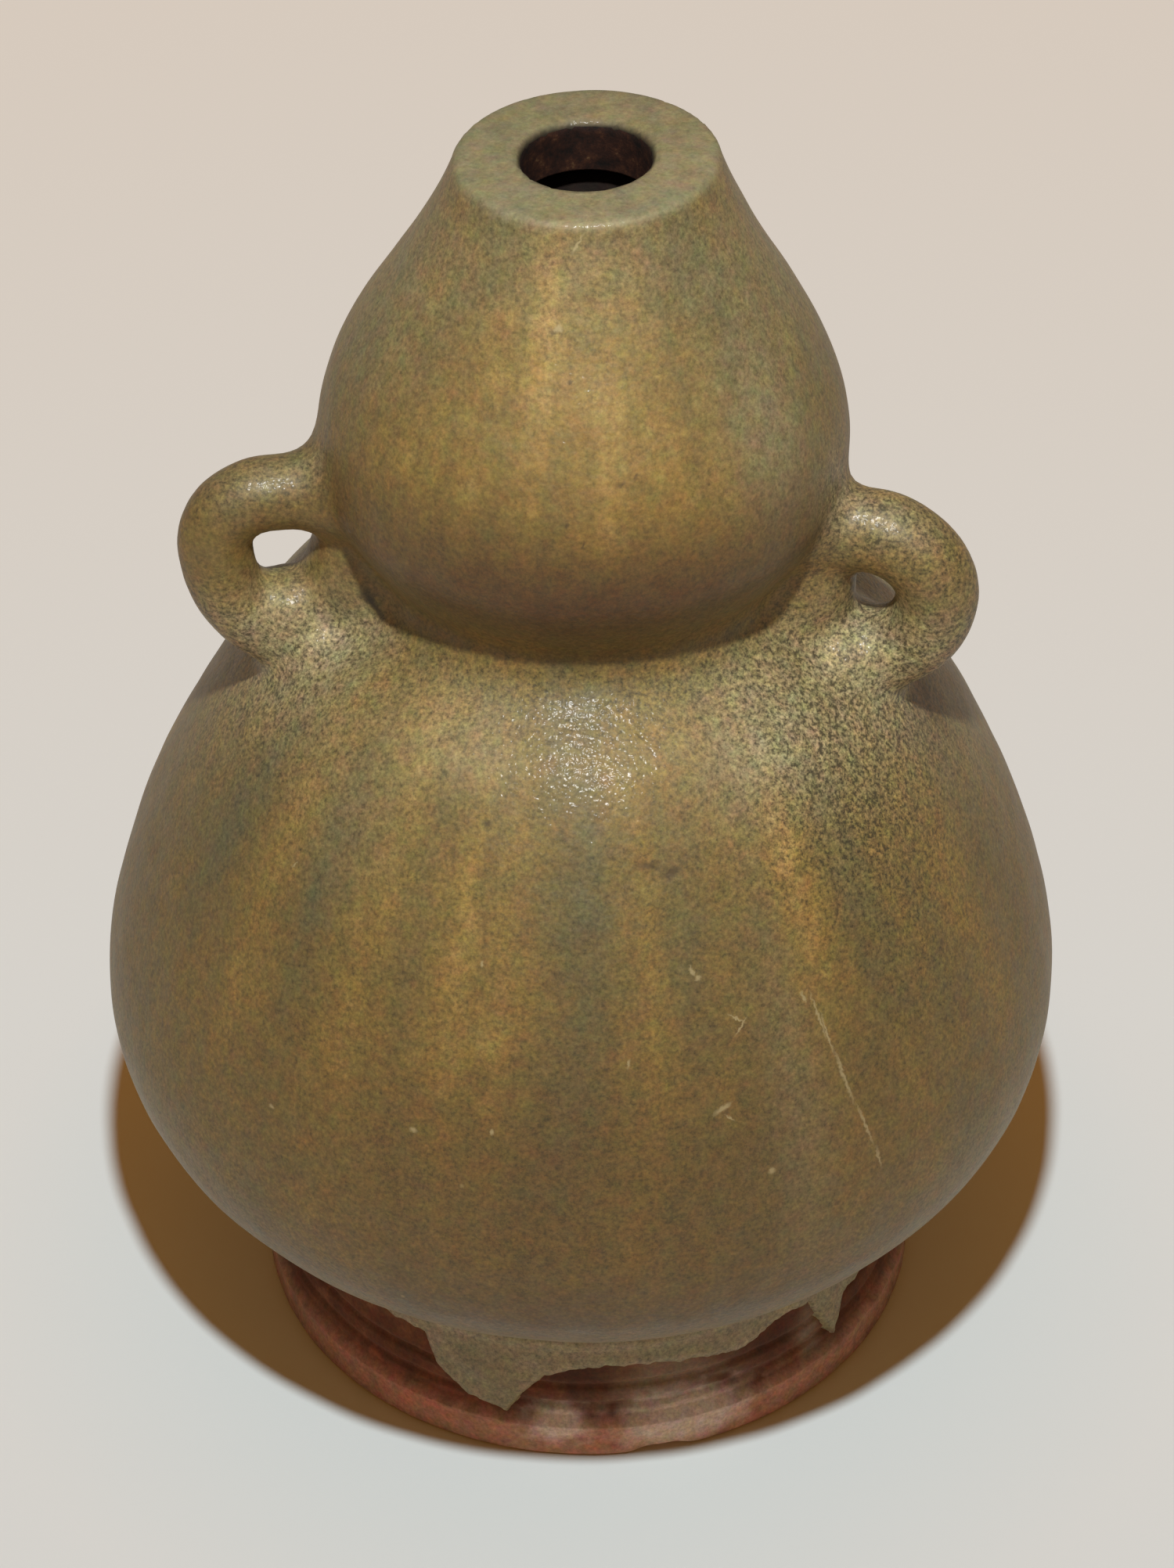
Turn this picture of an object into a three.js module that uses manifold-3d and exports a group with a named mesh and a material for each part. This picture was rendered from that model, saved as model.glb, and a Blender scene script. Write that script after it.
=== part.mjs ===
// A small double gourd vase in olive green glazed stoneware, with a coil loop on each side
// of its waist. Millimetres, +Z up. The vase stands on z = 0 and its axis is the Z axis. Its
// two loops stand near -X and +X, each turned a little towards the front, which faces -Y.
//
// It is laid out as a potter builds it: a thrown lower bulb on a turned foot ring, a thrown
// upper bulb luted on at the waist, two rolled coils luted on as loops, the slip that joins
// them, and the fired glaze that coats all but the foot.

import * as THREE from "three";
import { mergeVertices } from "three/addons/utils/BufferGeometryUtils.js";
import Module from "manifold-3d";

const wasm = await Module();
wasm.setup();

// Foot ring
const FOOT_RADIUS = 29;
const FOOT_WALL = 6.5;
const FOOT_BEVEL = 0.6;
const FOOT_BAND_HEIGHT = 3.7;
const FOOT_STEP = 0.7;
const FOOT_TOP_INSET = 2;
const FOOT_GROOVE_DEPTH = 0.35;
const FOOT_GROOVE_WIDTH = 0.9;
const FOOT_GROOVE_GAP = 1.1;
const RECESS_DEPTH = 6.5;
const FLOOR_EDGE_INSET = 3.5;

// Outside of the glaze, as rises from one station of the outline to the next. Its lower
// edge and the undercut above it follow the foot, the shoulder and the crown of the upper
// bulb spread from the waist, and the mouth's face from the bore.
const EDGE_HEIGHT = 10.5;
const EDGE_INSET = 0.5;
const UNDERCUT_RISE = 2.5;
const UNDERCUT_INSET = 1.2;
const BELLY_RISE = 20.1;
const BELLY_RADIUS = 40.5;
const SHOULDER_RISE = 37.6;
const SHOULDER_SPREAD = 5.6;
const NECK_RISE = 5.9;
const WAIST_RADIUS = 17.1;
const CROWN_RISE = 9.05;
const CROWN_SPREAD = 3.75;
const MOUTH_RISE = 25.55;
const MOUTH_FACE_WIDTH = 5.2;
const MOUTH_ROUNDING = 0.7;

// How far each Bezier arm of the outline reaches, as a share of the rise it spans
const undercutArmShare = 0.335;
const undercutLeanShare = 0.734;
const bellyLowerArmShare = 0.527;
const bellyUpperArmShare = 0.318;
const shoulderSlopeShare = 1.32;
const shoulderLowerArmShare = 0.121;
const shoulderUpperArmShare = 0.35;
const waistLowerArmShare = 0.45;
const waistUpperArmShare = 0.25;
const crownLowerArmShare = 0.5;
const crownUpperArmShare = 0.378;
const mouthArmShare = 0.426;
const mouthLeanShare = 0.379;

// Material thicknesses
const GLAZE_THICKNESS = 0.9;
const WALL_THICKNESS = 4.5;
const FLOOR_THICKNESS = 5.5;
const FLOOR_ROUNDING = 0.6;
const SLIP_THICKNESS = 0.7;
const CLEARANCE = 0.3;

// Mouth and bore
const BORE_RADIUS = 4.95;
const MOUTH_THICKNESS = 8.5;

// Glaze runs that hang from the coat's lower edge over the foot
const RUN_THICKNESS = 0.6;
const RUN_WIDTH = 13.5;
const RUN_ROOT = 1.2;
const runAzimuthDegrees = [262, 324, 20, 118, 176];
const runWidthShares = [1, 0.4, 0.55, 0.8, 0.35];
const runDropShares = [1, 0.95, 0.5, 0.75, 0.45];
const runLeanShares = [0.06, -0.1, 0.12, -0.14, 0];

// Loops: rolled coils, measured over their glaze
const COIL_GLAZE_THICKNESS = 0.4;
const COIL_ROOT_DEPTH = 3;
const PAD_SINK = 0.6;
const HOLE_DROP = 2.6;
const LEFT_LOOP = {
  side: -1,
  leanDegrees: 16,
  coilRadius: 2.95,
  centreStandoff: 8,
  centreLift: 11,
  upperReach: 4.25,
  upperRise: 4.15,
  lowerReach: 7.3,
  lowerFall: 9.55,
  holeWidth: 3.9,
};
const RIGHT_LOOP = {
  side: 1,
  leanDegrees: 9,
  coilRadius: 3.25,
  centreStandoff: 5.85,
  centreLift: 5.4,
  upperReach: 5.8,
  upperRise: 5.3,
  lowerReach: 6.1,
  lowerFall: 6.2,
  holeWidth: 3.2,
};

// Slip packed round the roots of a loop, and in the crook between them
const TOP_PAD_DEPTH = 2.6;
const TOP_PAD_WIDTH = 4.6;
const TOP_PAD_HEIGHT = 4.4;
const SADDLE_WIDTH = 5.2;
const SADDLE_HEIGHT = 6.5;
const WEB_DEPTH = 2.8;
const ROOT_PAD_OVERHANG = 3.2;
const ROOT_PAD_WIDTH = 5;
const ROOT_PAD_CREST = 1.9;

// Facets
const TURN_SEGMENTS = 40;
const COIL_SIDES = 12;
const COIL_STEPS = 18;
const PAD_SIDES = 14;
const PAD_RINGS = 10;
const OUTLINE_STEPS = { undercut: 5, shoulder: 7, neck: 3, crown: 4, mouth: 6 };
const RUN_STEPS = 6;

// Finishes
const glazeFinish = new THREE.MeshStandardMaterial({ color: "#84744a", roughness: 0.35 });
const rimGlazeFinish = new THREE.MeshStandardMaterial({ color: "#8d845f", roughness: 0.35 });
const coilGlazeFinish = new THREE.MeshStandardMaterial({ color: "#94814f", roughness: 0.35 });
const clayFinish = new THREE.MeshStandardMaterial({ color: "#5b3a1f", roughness: 0.9 });
const innerClayFinish = new THREE.MeshStandardMaterial({ color: "#4a3422", roughness: 0.95 });
const slipFinish = new THREE.MeshStandardMaterial({ color: "#a3926a", roughness: 0.6 });

const FOOT_INNER_RADIUS = FOOT_RADIUS - FOOT_WALL;
const FLOOR_EDGE_RADIUS = FOOT_INNER_RADIUS - FLOOR_EDGE_INSET;
const EDGE_RADIUS = FOOT_RADIUS - EDGE_INSET;
const UNDERCUT_RADIUS = FOOT_RADIUS - UNDERCUT_INSET;
const SHOULDER_RADIUS = WAIST_RADIUS + SHOULDER_SPREAD;
const CROWN_RADIUS = WAIST_RADIUS + CROWN_SPREAD;
const MOUTH_RADIUS = BORE_RADIUS + MOUTH_FACE_WIDTH;
const UNDERCUT_HEIGHT = EDGE_HEIGHT + UNDERCUT_RISE;
const BELLY_HEIGHT = UNDERCUT_HEIGHT + BELLY_RISE;
const SHOULDER_HEIGHT = BELLY_HEIGHT + SHOULDER_RISE;
const WAIST_HEIGHT = SHOULDER_HEIGHT + NECK_RISE;
const CROWN_HEIGHT = WAIST_HEIGHT + CROWN_RISE;
const TOTAL_HEIGHT = CROWN_HEIGHT + MOUTH_RISE;
const CLAY_INSET = GLAZE_THICKNESS + CLEARANCE;

// The longest run stops just above the band round the foot
const RUN_DROP = EDGE_HEIGHT - FOOT_BAND_HEIGHT - FOOT_STEP - CLEARANCE;

// Outlines are lists of Vector2 with x the radius and y the height

const at = (radius, height) => new THREE.Vector2(radius, height);

function bezier(from, fromArm, toArm, to, steps) {
  return new THREE.CubicBezierCurve(from, from.clone().add(fromArm), to.clone().add(toArm), to)
    .getPoints(steps);
}

// The outside of the glaze from the undercut above the foot to the edge of the mouth
function glazeOutline() {
  const undercut = at(UNDERCUT_RADIUS, UNDERCUT_HEIGHT);
  const belly = at(BELLY_RADIUS, BELLY_HEIGHT);
  const shoulder = at(SHOULDER_RADIUS, SHOULDER_HEIGHT);
  const waist = at(WAIST_RADIUS, WAIST_HEIGHT);
  const crown = at(CROWN_RADIUS, CROWN_HEIGHT);
  const mouth = at(MOUTH_RADIUS, TOTAL_HEIGHT - MOUTH_ROUNDING);
  const undercutArm = BELLY_RISE * undercutArmShare;
  const shoulderInArm = SHOULDER_RISE * shoulderLowerArmShare;
  const shoulderOutArm = NECK_RISE * shoulderUpperArmShare;
  const mouthArm = MOUTH_RISE * mouthArmShare;
  const spans = [
    bezier(
      undercut, at(undercutArm * undercutLeanShare, undercutArm),
      at(0, -BELLY_RISE * bellyLowerArmShare), belly, OUTLINE_STEPS.undercut,
    ),
    bezier(
      belly, at(0, SHOULDER_RISE * bellyUpperArmShare),
      at(shoulderInArm * shoulderSlopeShare, -shoulderInArm), shoulder, OUTLINE_STEPS.shoulder,
    ),
    bezier(
      shoulder, at(-shoulderOutArm * shoulderSlopeShare, shoulderOutArm),
      at(0, -NECK_RISE * waistLowerArmShare), waist, OUTLINE_STEPS.neck,
    ),
    bezier(
      waist, at(0, CROWN_RISE * waistUpperArmShare),
      at(0, -CROWN_RISE * crownLowerArmShare), crown, OUTLINE_STEPS.crown,
    ),
    bezier(
      crown, at(0, MOUTH_RISE * crownUpperArmShare),
      at(mouthArm * mouthLeanShare, -mouthArm), mouth, OUTLINE_STEPS.mouth,
    ),
  ];
  return spans.flatMap((span, index) => (index === 0 ? span : span.slice(1)));
}

// The same outline moved into the wall by a distance square to it, or out if negative
function inset(outline, distance) {
  return outline.map((point, index) => {
    const before = outline[Math.max(index - 1, 0)];
    const after = outline[Math.min(index + 1, outline.length - 1)];
    const along = after.clone().sub(before).normalize();
    return at(point.x - along.y * distance, point.y + along.x * distance);
  });
}

function radiusAt(outline, height) {
  const above = outline.findIndex((p, index) => index > 0 && p.y >= height);
  const next = above > 0 ? above : outline.length - 1;
  const low = outline[next - 1];
  const high = outline[next];
  return low.x + ((high.x - low.x) * (height - low.y)) / (high.y - low.y);
}

// The height at which the outline comes in to a radius, between the belly and the waist
function shoulderHeightAt(outline, radius) {
  const widest = outline.findIndex((p) => p.y >= BELLY_HEIGHT);
  const next = outline.findIndex((p, index) => index > widest && p.x < radius);
  const low = outline[next - 1];
  const high = outline[next];
  return low.y + ((high.y - low.y) * (low.x - radius)) / (low.x - high.x);
}

// The stretch of an outline between two heights, with its ends worked out
function between(outline, low, high) {
  const inside = outline.filter((p) => p.y > low && p.y < high);
  return [at(radiusAt(outline, low), low), ...inside, at(radiusAt(outline, high), high)];
}

const thinned = (outline) => outline.filter((_, index) => index % 2 === 0);

// Solids

// A closed geometry as a manifold solid with its faces pointing out
function solidOf(geometry) {
  const bare = geometry.clone();
  bare.deleteAttribute("normal");
  bare.deleteAttribute("uv");
  const merged = mergeVertices(bare);
  const corners = merged.attributes.position.array;
  const triangles = [];
  for (let i = 0; i < merged.index.count; i += 3) {
    const [a, b, c] = [0, 1, 2].map((k) => merged.index.getX(i + k));
    if (a !== b && b !== c && c !== a) triangles.push([a, b, c]);
  }
  const corner = (index) => new THREE.Vector3().fromArray(corners, 3 * index);
  const sixVolumes = triangles.reduce(
    (sum, [a, b, c]) => sum + corner(a).dot(corner(b).cross(corner(c))), 0,
  );
  const outward = sixVolumes > 0 ? triangles : triangles.map(([a, b, c]) => [a, c, b]);
  return new wasm.Manifold(new wasm.Mesh({
    numProp: 3,
    vertProperties: Float32Array.from(corners),
    triVerts: Uint32Array.from(outward.flat()),
  }));
}

function geometryOf(solid) {
  const mesh = solid.getMesh();
  const geometry = new THREE.BufferGeometry();
  geometry.setAttribute("position", new THREE.Float32BufferAttribute(mesh.vertProperties, 3));
  geometry.setIndex(new THREE.Uint32BufferAttribute(mesh.triVerts, 1));
  geometry.computeVertexNormals();
  return geometry;
}

// An outline turned about the vase's axis. It runs anticlockwise, up the outside and down
// the inside, and a closed ring comes back to its first point.
function turned(outline, ring = false) {
  const closed = ring ? [...outline, outline[0].clone()] : outline;
  return solidOf(new THREE.LatheGeometry(closed, TURN_SEGMENTS).rotateX(Math.PI / 2));
}

// A solid that fills an outline in to the axis, to cut what must stay outside it
function core(outline) {
  const first = outline[0];
  const last = outline[outline.length - 1];
  return turned([at(0, first.y), ...outline, at(0, last.y)]);
}

const glazeOuter = glazeOutline();
const glazeInner = inset(glazeOuter, GLAZE_THICKNESS);
const clayOuter = inset(glazeOuter, CLAY_INSET);
const clayInner = thinned(inset(glazeOuter, CLAY_INSET + WALL_THICKNESS));
const slipHalf = SLIP_THICKNESS / 2;
const neckTop = WAIST_HEIGHT - slipHalf - CLEARANCE;
const crownBase = WAIST_HEIGHT + slipHalf + CLEARANCE;
const floorTop = RECESS_DEPTH + FLOOR_THICKNESS;
const clayTop = TOTAL_HEIGHT - CLAY_INSET;

// Thrown clay

function lowerBulb() {
  const outside = between(clayOuter, clayOuter[0].y, neckTop);
  const inside = between(clayInner, clayInner[0].y, neckTop).reverse();
  return turned([
    at(0, RECESS_DEPTH),
    at(FLOOR_EDGE_RADIUS, RECESS_DEPTH),
    ...outside,
    ...inside,
    at((FLOOR_EDGE_RADIUS + clayInner[0].x) / 2, (floorTop + clayInner[0].y) / 2 - FLOOR_ROUNDING),
    at(FLOOR_EDGE_RADIUS - WALL_THICKNESS, floorTop),
    at(0, floorTop),
  ]);
}

function upperBulb() {
  const boreWall = BORE_RADIUS + CLAY_INSET;
  const ceiling = TOTAL_HEIGHT - MOUTH_THICKNESS;
  const domeRise = boreWall;
  const outside = between(clayOuter, crownBase, clayTop - MOUTH_ROUNDING);
  const inside = between(clayInner, crownBase, ceiling - domeRise).reverse();
  return turned([
    ...outside,
    at(MOUTH_RADIUS - CLAY_INSET - MOUTH_ROUNDING, clayTop),
    at(boreWall, clayTop),
    at(boreWall, ceiling),
    ...inside,
  ], true);
}

// Foot ring, with its seat cut parallel to the slope under the lower bulb

const slopeFoot = at(FLOOR_EDGE_RADIUS, RECESS_DEPTH);
const slopeAlong = clayOuter[0].clone().sub(slopeFoot).normalize();
const slopeOut = at(slopeAlong.y, -slopeAlong.x);

// A point below the slope by a distance square to it, at a radius
function belowSlope(radius, distance) {
  const start = slopeFoot.clone().addScaledVector(slopeOut, distance);
  return at(radius, start.y + ((radius - start.x) * slopeAlong.y) / slopeAlong.x);
}

const seatDrop = SLIP_THICKNESS + 2 * CLEARANCE;
const footTopRadius = FOOT_RADIUS - FOOT_TOP_INSET;
const footTop = belowSlope(footTopRadius, seatDrop);
const bandInset = at(FOOT_RADIUS - FOOT_STEP, FOOT_BAND_HEIGHT + FOOT_STEP);

const footWallRadius = (height) => bandInset.x
  + ((footTop.x - bandInset.x) * (height - bandInset.y)) / (footTop.y - bandInset.y);

function groove(height) {
  const half = FOOT_GROOVE_WIDTH / 2;
  return [
    at(footWallRadius(height - half), height - half),
    at(footWallRadius(height) - FOOT_GROOVE_DEPTH, height),
    at(footWallRadius(height + half), height + half),
  ];
}

function footRing() {
  const firstGroove = bandInset.y + FOOT_GROOVE_GAP;
  const secondGroove = firstGroove + FOOT_GROOVE_WIDTH + FOOT_GROOVE_GAP;
  return turned([
    at(FOOT_INNER_RADIUS, FOOT_BEVEL),
    at(FOOT_INNER_RADIUS + FOOT_BEVEL, 0),
    at(FOOT_RADIUS - FOOT_BEVEL, 0),
    at(FOOT_RADIUS, FOOT_BEVEL),
    at(FOOT_RADIUS, FOOT_BAND_HEIGHT),
    bandInset,
    ...groove(firstGroove),
    ...groove(secondGroove),
    footTop,
    belowSlope(FOOT_INNER_RADIUS, seatDrop),
  ], true);
}

// Slip: the liquid clay that lutes the thrown pieces together

function footSlip() {
  return turned([
    belowSlope(FOOT_INNER_RADIUS + CLEARANCE, CLEARANCE + SLIP_THICKNESS),
    belowSlope(footTopRadius - CLEARANCE, CLEARANCE + SLIP_THICKNESS),
    belowSlope(footTopRadius - CLEARANCE, CLEARANCE),
    belowSlope(FOOT_INNER_RADIUS + CLEARANCE, CLEARANCE),
  ], true);
}

// The waist joint, with the bead that squeezes out inside
function waistSlip() {
  const outside = radiusAt(clayOuter, WAIST_HEIGHT);
  const inside = radiusAt(clayInner, WAIST_HEIGHT);
  return turned([
    at(inside - SLIP_THICKNESS, WAIST_HEIGHT - SLIP_THICKNESS),
    at(inside - CLEARANCE, WAIST_HEIGHT - SLIP_THICKNESS),
    at(inside, WAIST_HEIGHT - slipHalf),
    at(outside, WAIST_HEIGHT - slipHalf),
    at(outside, WAIST_HEIGHT + slipHalf),
    at(inside, WAIST_HEIGHT + slipHalf),
    at(inside - CLEARANCE, WAIST_HEIGHT + SLIP_THICKNESS),
    at(inside - SLIP_THICKNESS, WAIST_HEIGHT + SLIP_THICKNESS),
  ], true);
}

// Glaze on the two bulbs

function glazeRuns() {
  const runFoot = EDGE_HEIGHT - RUN_DROP - RUN_ROOT;
  const wall = [
    at(footWallRadius(runFoot), runFoot),
    at(footWallRadius(EDGE_HEIGHT + RUN_ROOT), EDGE_HEIGHT + RUN_ROOT),
  ];
  const skin = turned([
    ...inset(wall, -CLEARANCE - RUN_THICKNESS),
    ...inset(wall, -CLEARANCE).reverse(),
  ], true);
  const tongues = runAzimuthDegrees.map((degrees, index) => {
    const half = (RUN_WIDTH * runWidthShares[index]) / 2;
    const drop = RUN_DROP * runDropShares[index];
    const tip = at(half * runLeanShares[index], -drop);
    const shape = new THREE.Shape();
    shape.moveTo(-half, RUN_ROOT);
    shape.bezierCurveTo(-half / 2, -drop / 2, tip.x - half / 3, tip.y, tip.x, tip.y);
    shape.bezierCurveTo(tip.x + half / 3, tip.y, half / 2, -drop / 2, half, RUN_ROOT);
    const prism = new THREE.ExtrudeGeometry(shape, {
      depth: FOOT_RADIUS + RUN_THICKNESS + CLEARANCE, bevelEnabled: false, curveSegments: RUN_STEPS,
    });
    const angle = THREE.MathUtils.degToRad(degrees);
    const radial = new THREE.Vector3(Math.cos(angle), Math.sin(angle), 0);
    const up = new THREE.Vector3(0, 0, 1);
    const tangent = up.clone().cross(radial);
    const place = new THREE.Matrix4().makeBasis(tangent, up, radial);
    prism.applyMatrix4(place.setPosition(0, 0, EDGE_HEIGHT));
    return solidOf(prism).intersect(skin);
  });
  return tongues;
}

function lowerGlaze() {
  const top = WAIST_HEIGHT - CLEARANCE / 2;
  const wallAtEdge = footWallRadius(EDGE_HEIGHT) + CLEARANCE;
  const undercutInner = at(
    Math.max(glazeInner[0].x, footTopRadius + CLEARANCE), footTop.y + CLEARANCE,
  );
  const coat = turned([
    at(wallAtEdge, EDGE_HEIGHT),
    at(EDGE_RADIUS, EDGE_HEIGHT + RUN_THICKNESS / 2),
    ...between(glazeOuter, glazeOuter[0].y, top),
    ...between(glazeInner, glazeInner[0].y, top).reverse(),
    undercutInner,
  ], true);
  return glazeRuns().reduce((sum, run) => sum.add(run), coat);
}

function upperGlaze() {
  const base = WAIST_HEIGHT + CLEARANCE / 2;
  const rimInner = TOTAL_HEIGHT - GLAZE_THICKNESS;
  const boreEnd = TOTAL_HEIGHT - MOUTH_THICKNESS / 2;
  const outside = between(glazeOuter, base, TOTAL_HEIGHT - MOUTH_ROUNDING);
  const inside = between(glazeInner, base, rimInner - MOUTH_ROUNDING).reverse();
  return turned([
    ...outside,
    at(MOUTH_RADIUS - MOUTH_ROUNDING, TOTAL_HEIGHT),
    at(BORE_RADIUS + MOUTH_ROUNDING, TOTAL_HEIGHT),
    at(BORE_RADIUS, TOTAL_HEIGHT - MOUTH_ROUNDING),
    at(BORE_RADIUS, boreEnd),
    at(BORE_RADIUS + GLAZE_THICKNESS, boreEnd),
    at(BORE_RADIUS + GLAZE_THICKNESS, rimInner),
    at(MOUTH_RADIUS - GLAZE_THICKNESS - MOUTH_ROUNDING, rimInner),
    ...inside,
  ], true);
}

// Loops

// The centre line of a loop before it is turned to the front: straight out of the upper bulb,
// then over and down into the shoulder on two quarter ellipses
class LoopLine extends THREE.Curve {
  constructor(loop) {
    super();
    this.loop = loop;
    this.turn = THREE.MathUtils.degToRad(-loop.side * loop.leanDegrees);
    this.centreRadius = WAIST_RADIUS + loop.centreStandoff;
    this.centreHeight = shoulderHeightAt(glazeOuter, this.centreRadius) + loop.centreLift;
    this.topHeight = this.centreHeight + loop.upperRise;
    this.rootRadius = radiusAt(glazeOuter, this.topHeight);
    this.startRadius = this.rootRadius - CLAY_INSET - COIL_ROOT_DEPTH;
    this.holeRadius = this.centreRadius + loop.upperReach - loop.coilRadius - loop.holeWidth;
  }

  getPoint(t, target = new THREE.Vector3()) {
    const { side, upperReach, upperRise, lowerReach, lowerFall } = this.loop;
    const third = 3 * t;
    const outermost = this.centreRadius + upperReach;
    if (third < 1) {
      const run = this.centreRadius - this.startRadius;
      return target.set(side * (this.startRadius + run * third), 0, this.topHeight);
    }
    const angle = (third < 2 ? third - 1 : third - 2) * (Math.PI / 2);
    if (third < 2) {
      return target.set(
        side * (this.centreRadius + upperReach * Math.sin(angle)), 0,
        this.centreHeight + upperRise * Math.cos(angle),
      );
    }
    return target.set(
      side * (outermost - lowerReach * (1 - Math.cos(angle))), 0,
      this.centreHeight - lowerFall * Math.sin(angle),
    );
  }

  // Where the coil comes down on the shoulder
  get landing() {
    const steps = Array.from({ length: COIL_STEPS + 1 }, (_, i) => this.getPoint(i / COIL_STEPS));
    return steps.reverse().find((p) => {
      const radius = Math.abs(p.x);
      return p.z < this.centreHeight && p.z > shoulderHeightAt(glazeOuter, radius);
    });
  }
}

function coil(line, radius) {
  const shape = new THREE.Shape();
  shape.absarc(0, 0, radius, 0, 2 * Math.PI);
  return solidOf(new THREE.ExtrudeGeometry(shape, {
    steps: COIL_STEPS, curveSegments: COIL_SIDES / 2, extrudePath: line, bevelEnabled: false,
  }).rotateZ(line.turn));
}

// A rounded wad of slip on a loop, with its half sizes along X, Y and Z before it is tilted
// about Y and turned with the loop
function wad(line, centre, half, tilt = 0) {
  const ball = new THREE.SphereGeometry(1, PAD_SIDES, PAD_RINGS).rotateX(Math.PI / 2);
  const shaped = ball.scale(half.x, half.y, half.z).rotateY(tilt);
  return solidOf(shaped.translate(centre.x, centre.y, centre.z).rotateZ(line.turn));
}

// The wads round a loop's roots, grown by a margin
function topWad(line, margin) {
  const centre = new THREE.Vector3(line.loop.side * (line.rootRadius - PAD_SINK), 0, line.topHeight);
  return wad(line, centre, new THREE.Vector3(
    TOP_PAD_DEPTH + margin, TOP_PAD_WIDTH + margin, TOP_PAD_HEIGHT + margin,
  ));
}

// A saddle in the waist, a web that closes the crook of the loop up to its hole, and a pad
// under the coil where it lands
function rootWad(line, margin) {
  const { holeRadius, landing } = line;
  const { side, holeWidth } = line.loop;
  const saddleDepth = holeRadius - (WAIST_RADIUS - CLAY_INSET);
  const saddle = wad(
    line,
    new THREE.Vector3(side * (holeRadius - saddleDepth), 0, WAIST_HEIGHT - CLAY_INSET),
    new THREE.Vector3(saddleDepth + margin, SADDLE_WIDTH + margin, SADDLE_HEIGHT + margin),
  );
  const webTop = line.centreHeight - HOLE_DROP;
  const webBase = shoulderHeightAt(glazeOuter, holeRadius) - CLAY_INSET;
  const web = wad(
    line,
    new THREE.Vector3(side * (holeRadius + holeWidth / 3), 0, (webTop + webBase) / 2),
    new THREE.Vector3(
      WEB_DEPTH + margin, ROOT_PAD_WIDTH + margin, (webTop - webBase) / 2 + margin,
    ),
  );
  const padTop = new THREE.Vector3(
    side * holeRadius, 0, shoulderHeightAt(glazeOuter, holeRadius),
  );
  const padRun = landing.clone().sub(padTop);
  const pad = wad(
    line,
    padTop.clone().lerp(landing, 1 / 2),
    new THREE.Vector3(
      padRun.length() / 2 + ROOT_PAD_OVERHANG + margin,
      ROOT_PAD_WIDTH + margin,
      ROOT_PAD_CREST + margin,
    ),
    -Math.atan2(padRun.z, padRun.x),
  );
  return saddle.add(web).add(pad);
}

const clayCutter = core(glazeInner);
const glazeCutter = core(inset(glazeOuter, -CLEARANCE));

function loopPieces(name, loop) {
  const line = new LoopLine(loop);
  const clayRadius = loop.coilRadius - COIL_GLAZE_THICKNESS - CLEARANCE;
  const clearCoil = coil(line, clayRadius + CLEARANCE);
  const top = topWad(line, 0).subtract(clearCoil).subtract(clayCutter);
  const root = rootWad(line, 0).subtract(topWad(line, CLEARANCE)).subtract(clearCoil)
    .subtract(clayCutter);
  const wads = topWad(line, CLEARANCE).add(rootWad(line, CLEARANCE));
  return {
    opening: wads.add(clearCoil),
    nodes: {
      [`${name}_handle`]: [coil(line, clayRadius).subtract(clayCutter), clayFinish],
      [`${name}_handle_glaze`]: [
        coil(line, loop.coilRadius).subtract(clearCoil).subtract(wads).subtract(glazeCutter),
        coilGlazeFinish,
      ],
      [`${name}_top_slip`]: [top, slipFinish],
      [`${name}_root_slip`]: [root, slipFinish],
    },
  };
}

const left = loopPieces("left", LEFT_LOOP);
const right = loopPieces("right", RIGHT_LOOP);
const openings = left.opening.add(right.opening);

const nodes = {
  foot_ring: [footRing(), clayFinish],
  foot_slip: [footSlip(), slipFinish],
  lower_bulb: [lowerBulb(), innerClayFinish],
  waist_slip: [waistSlip(), slipFinish],
  upper_bulb: [upperBulb(), innerClayFinish],
  ...left.nodes,
  ...right.nodes,
  lower_glaze: [lowerGlaze().subtract(openings), glazeFinish],
  upper_glaze: [upperGlaze().subtract(openings), rimGlazeFinish],
};

const vase = new THREE.Group();
for (const [name, [solid, finish]] of Object.entries(nodes)) {
  const mesh = new THREE.Mesh(geometryOf(solid), finish);
  mesh.name = name;
  vase.add(mesh);
}

export default vase;
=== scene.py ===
import math

import bpy
import numpy as np
from mathutils import Matrix, Vector, noise


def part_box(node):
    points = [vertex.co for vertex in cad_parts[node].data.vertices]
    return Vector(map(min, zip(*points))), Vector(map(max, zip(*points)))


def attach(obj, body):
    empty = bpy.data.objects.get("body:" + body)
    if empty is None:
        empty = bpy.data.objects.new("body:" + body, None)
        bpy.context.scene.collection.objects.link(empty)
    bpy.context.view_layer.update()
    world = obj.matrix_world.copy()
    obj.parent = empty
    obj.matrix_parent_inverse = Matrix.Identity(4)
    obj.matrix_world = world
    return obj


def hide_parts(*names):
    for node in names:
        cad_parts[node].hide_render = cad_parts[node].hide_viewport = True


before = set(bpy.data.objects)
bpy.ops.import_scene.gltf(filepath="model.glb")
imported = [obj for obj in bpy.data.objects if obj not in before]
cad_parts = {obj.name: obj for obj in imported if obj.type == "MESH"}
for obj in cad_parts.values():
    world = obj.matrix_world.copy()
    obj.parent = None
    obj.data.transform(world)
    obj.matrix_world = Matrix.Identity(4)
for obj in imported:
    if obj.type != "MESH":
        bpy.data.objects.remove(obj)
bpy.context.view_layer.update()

# A small double gourd vase in olive ash glaze on brown stoneware, with a rolled coil luted on
# as a loop at each side of its waist. Sizes are in millimetres, and MM turns them to metres.

MM = 0.001


def top_of(node):
    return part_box(node)[1].z / MM


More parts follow.
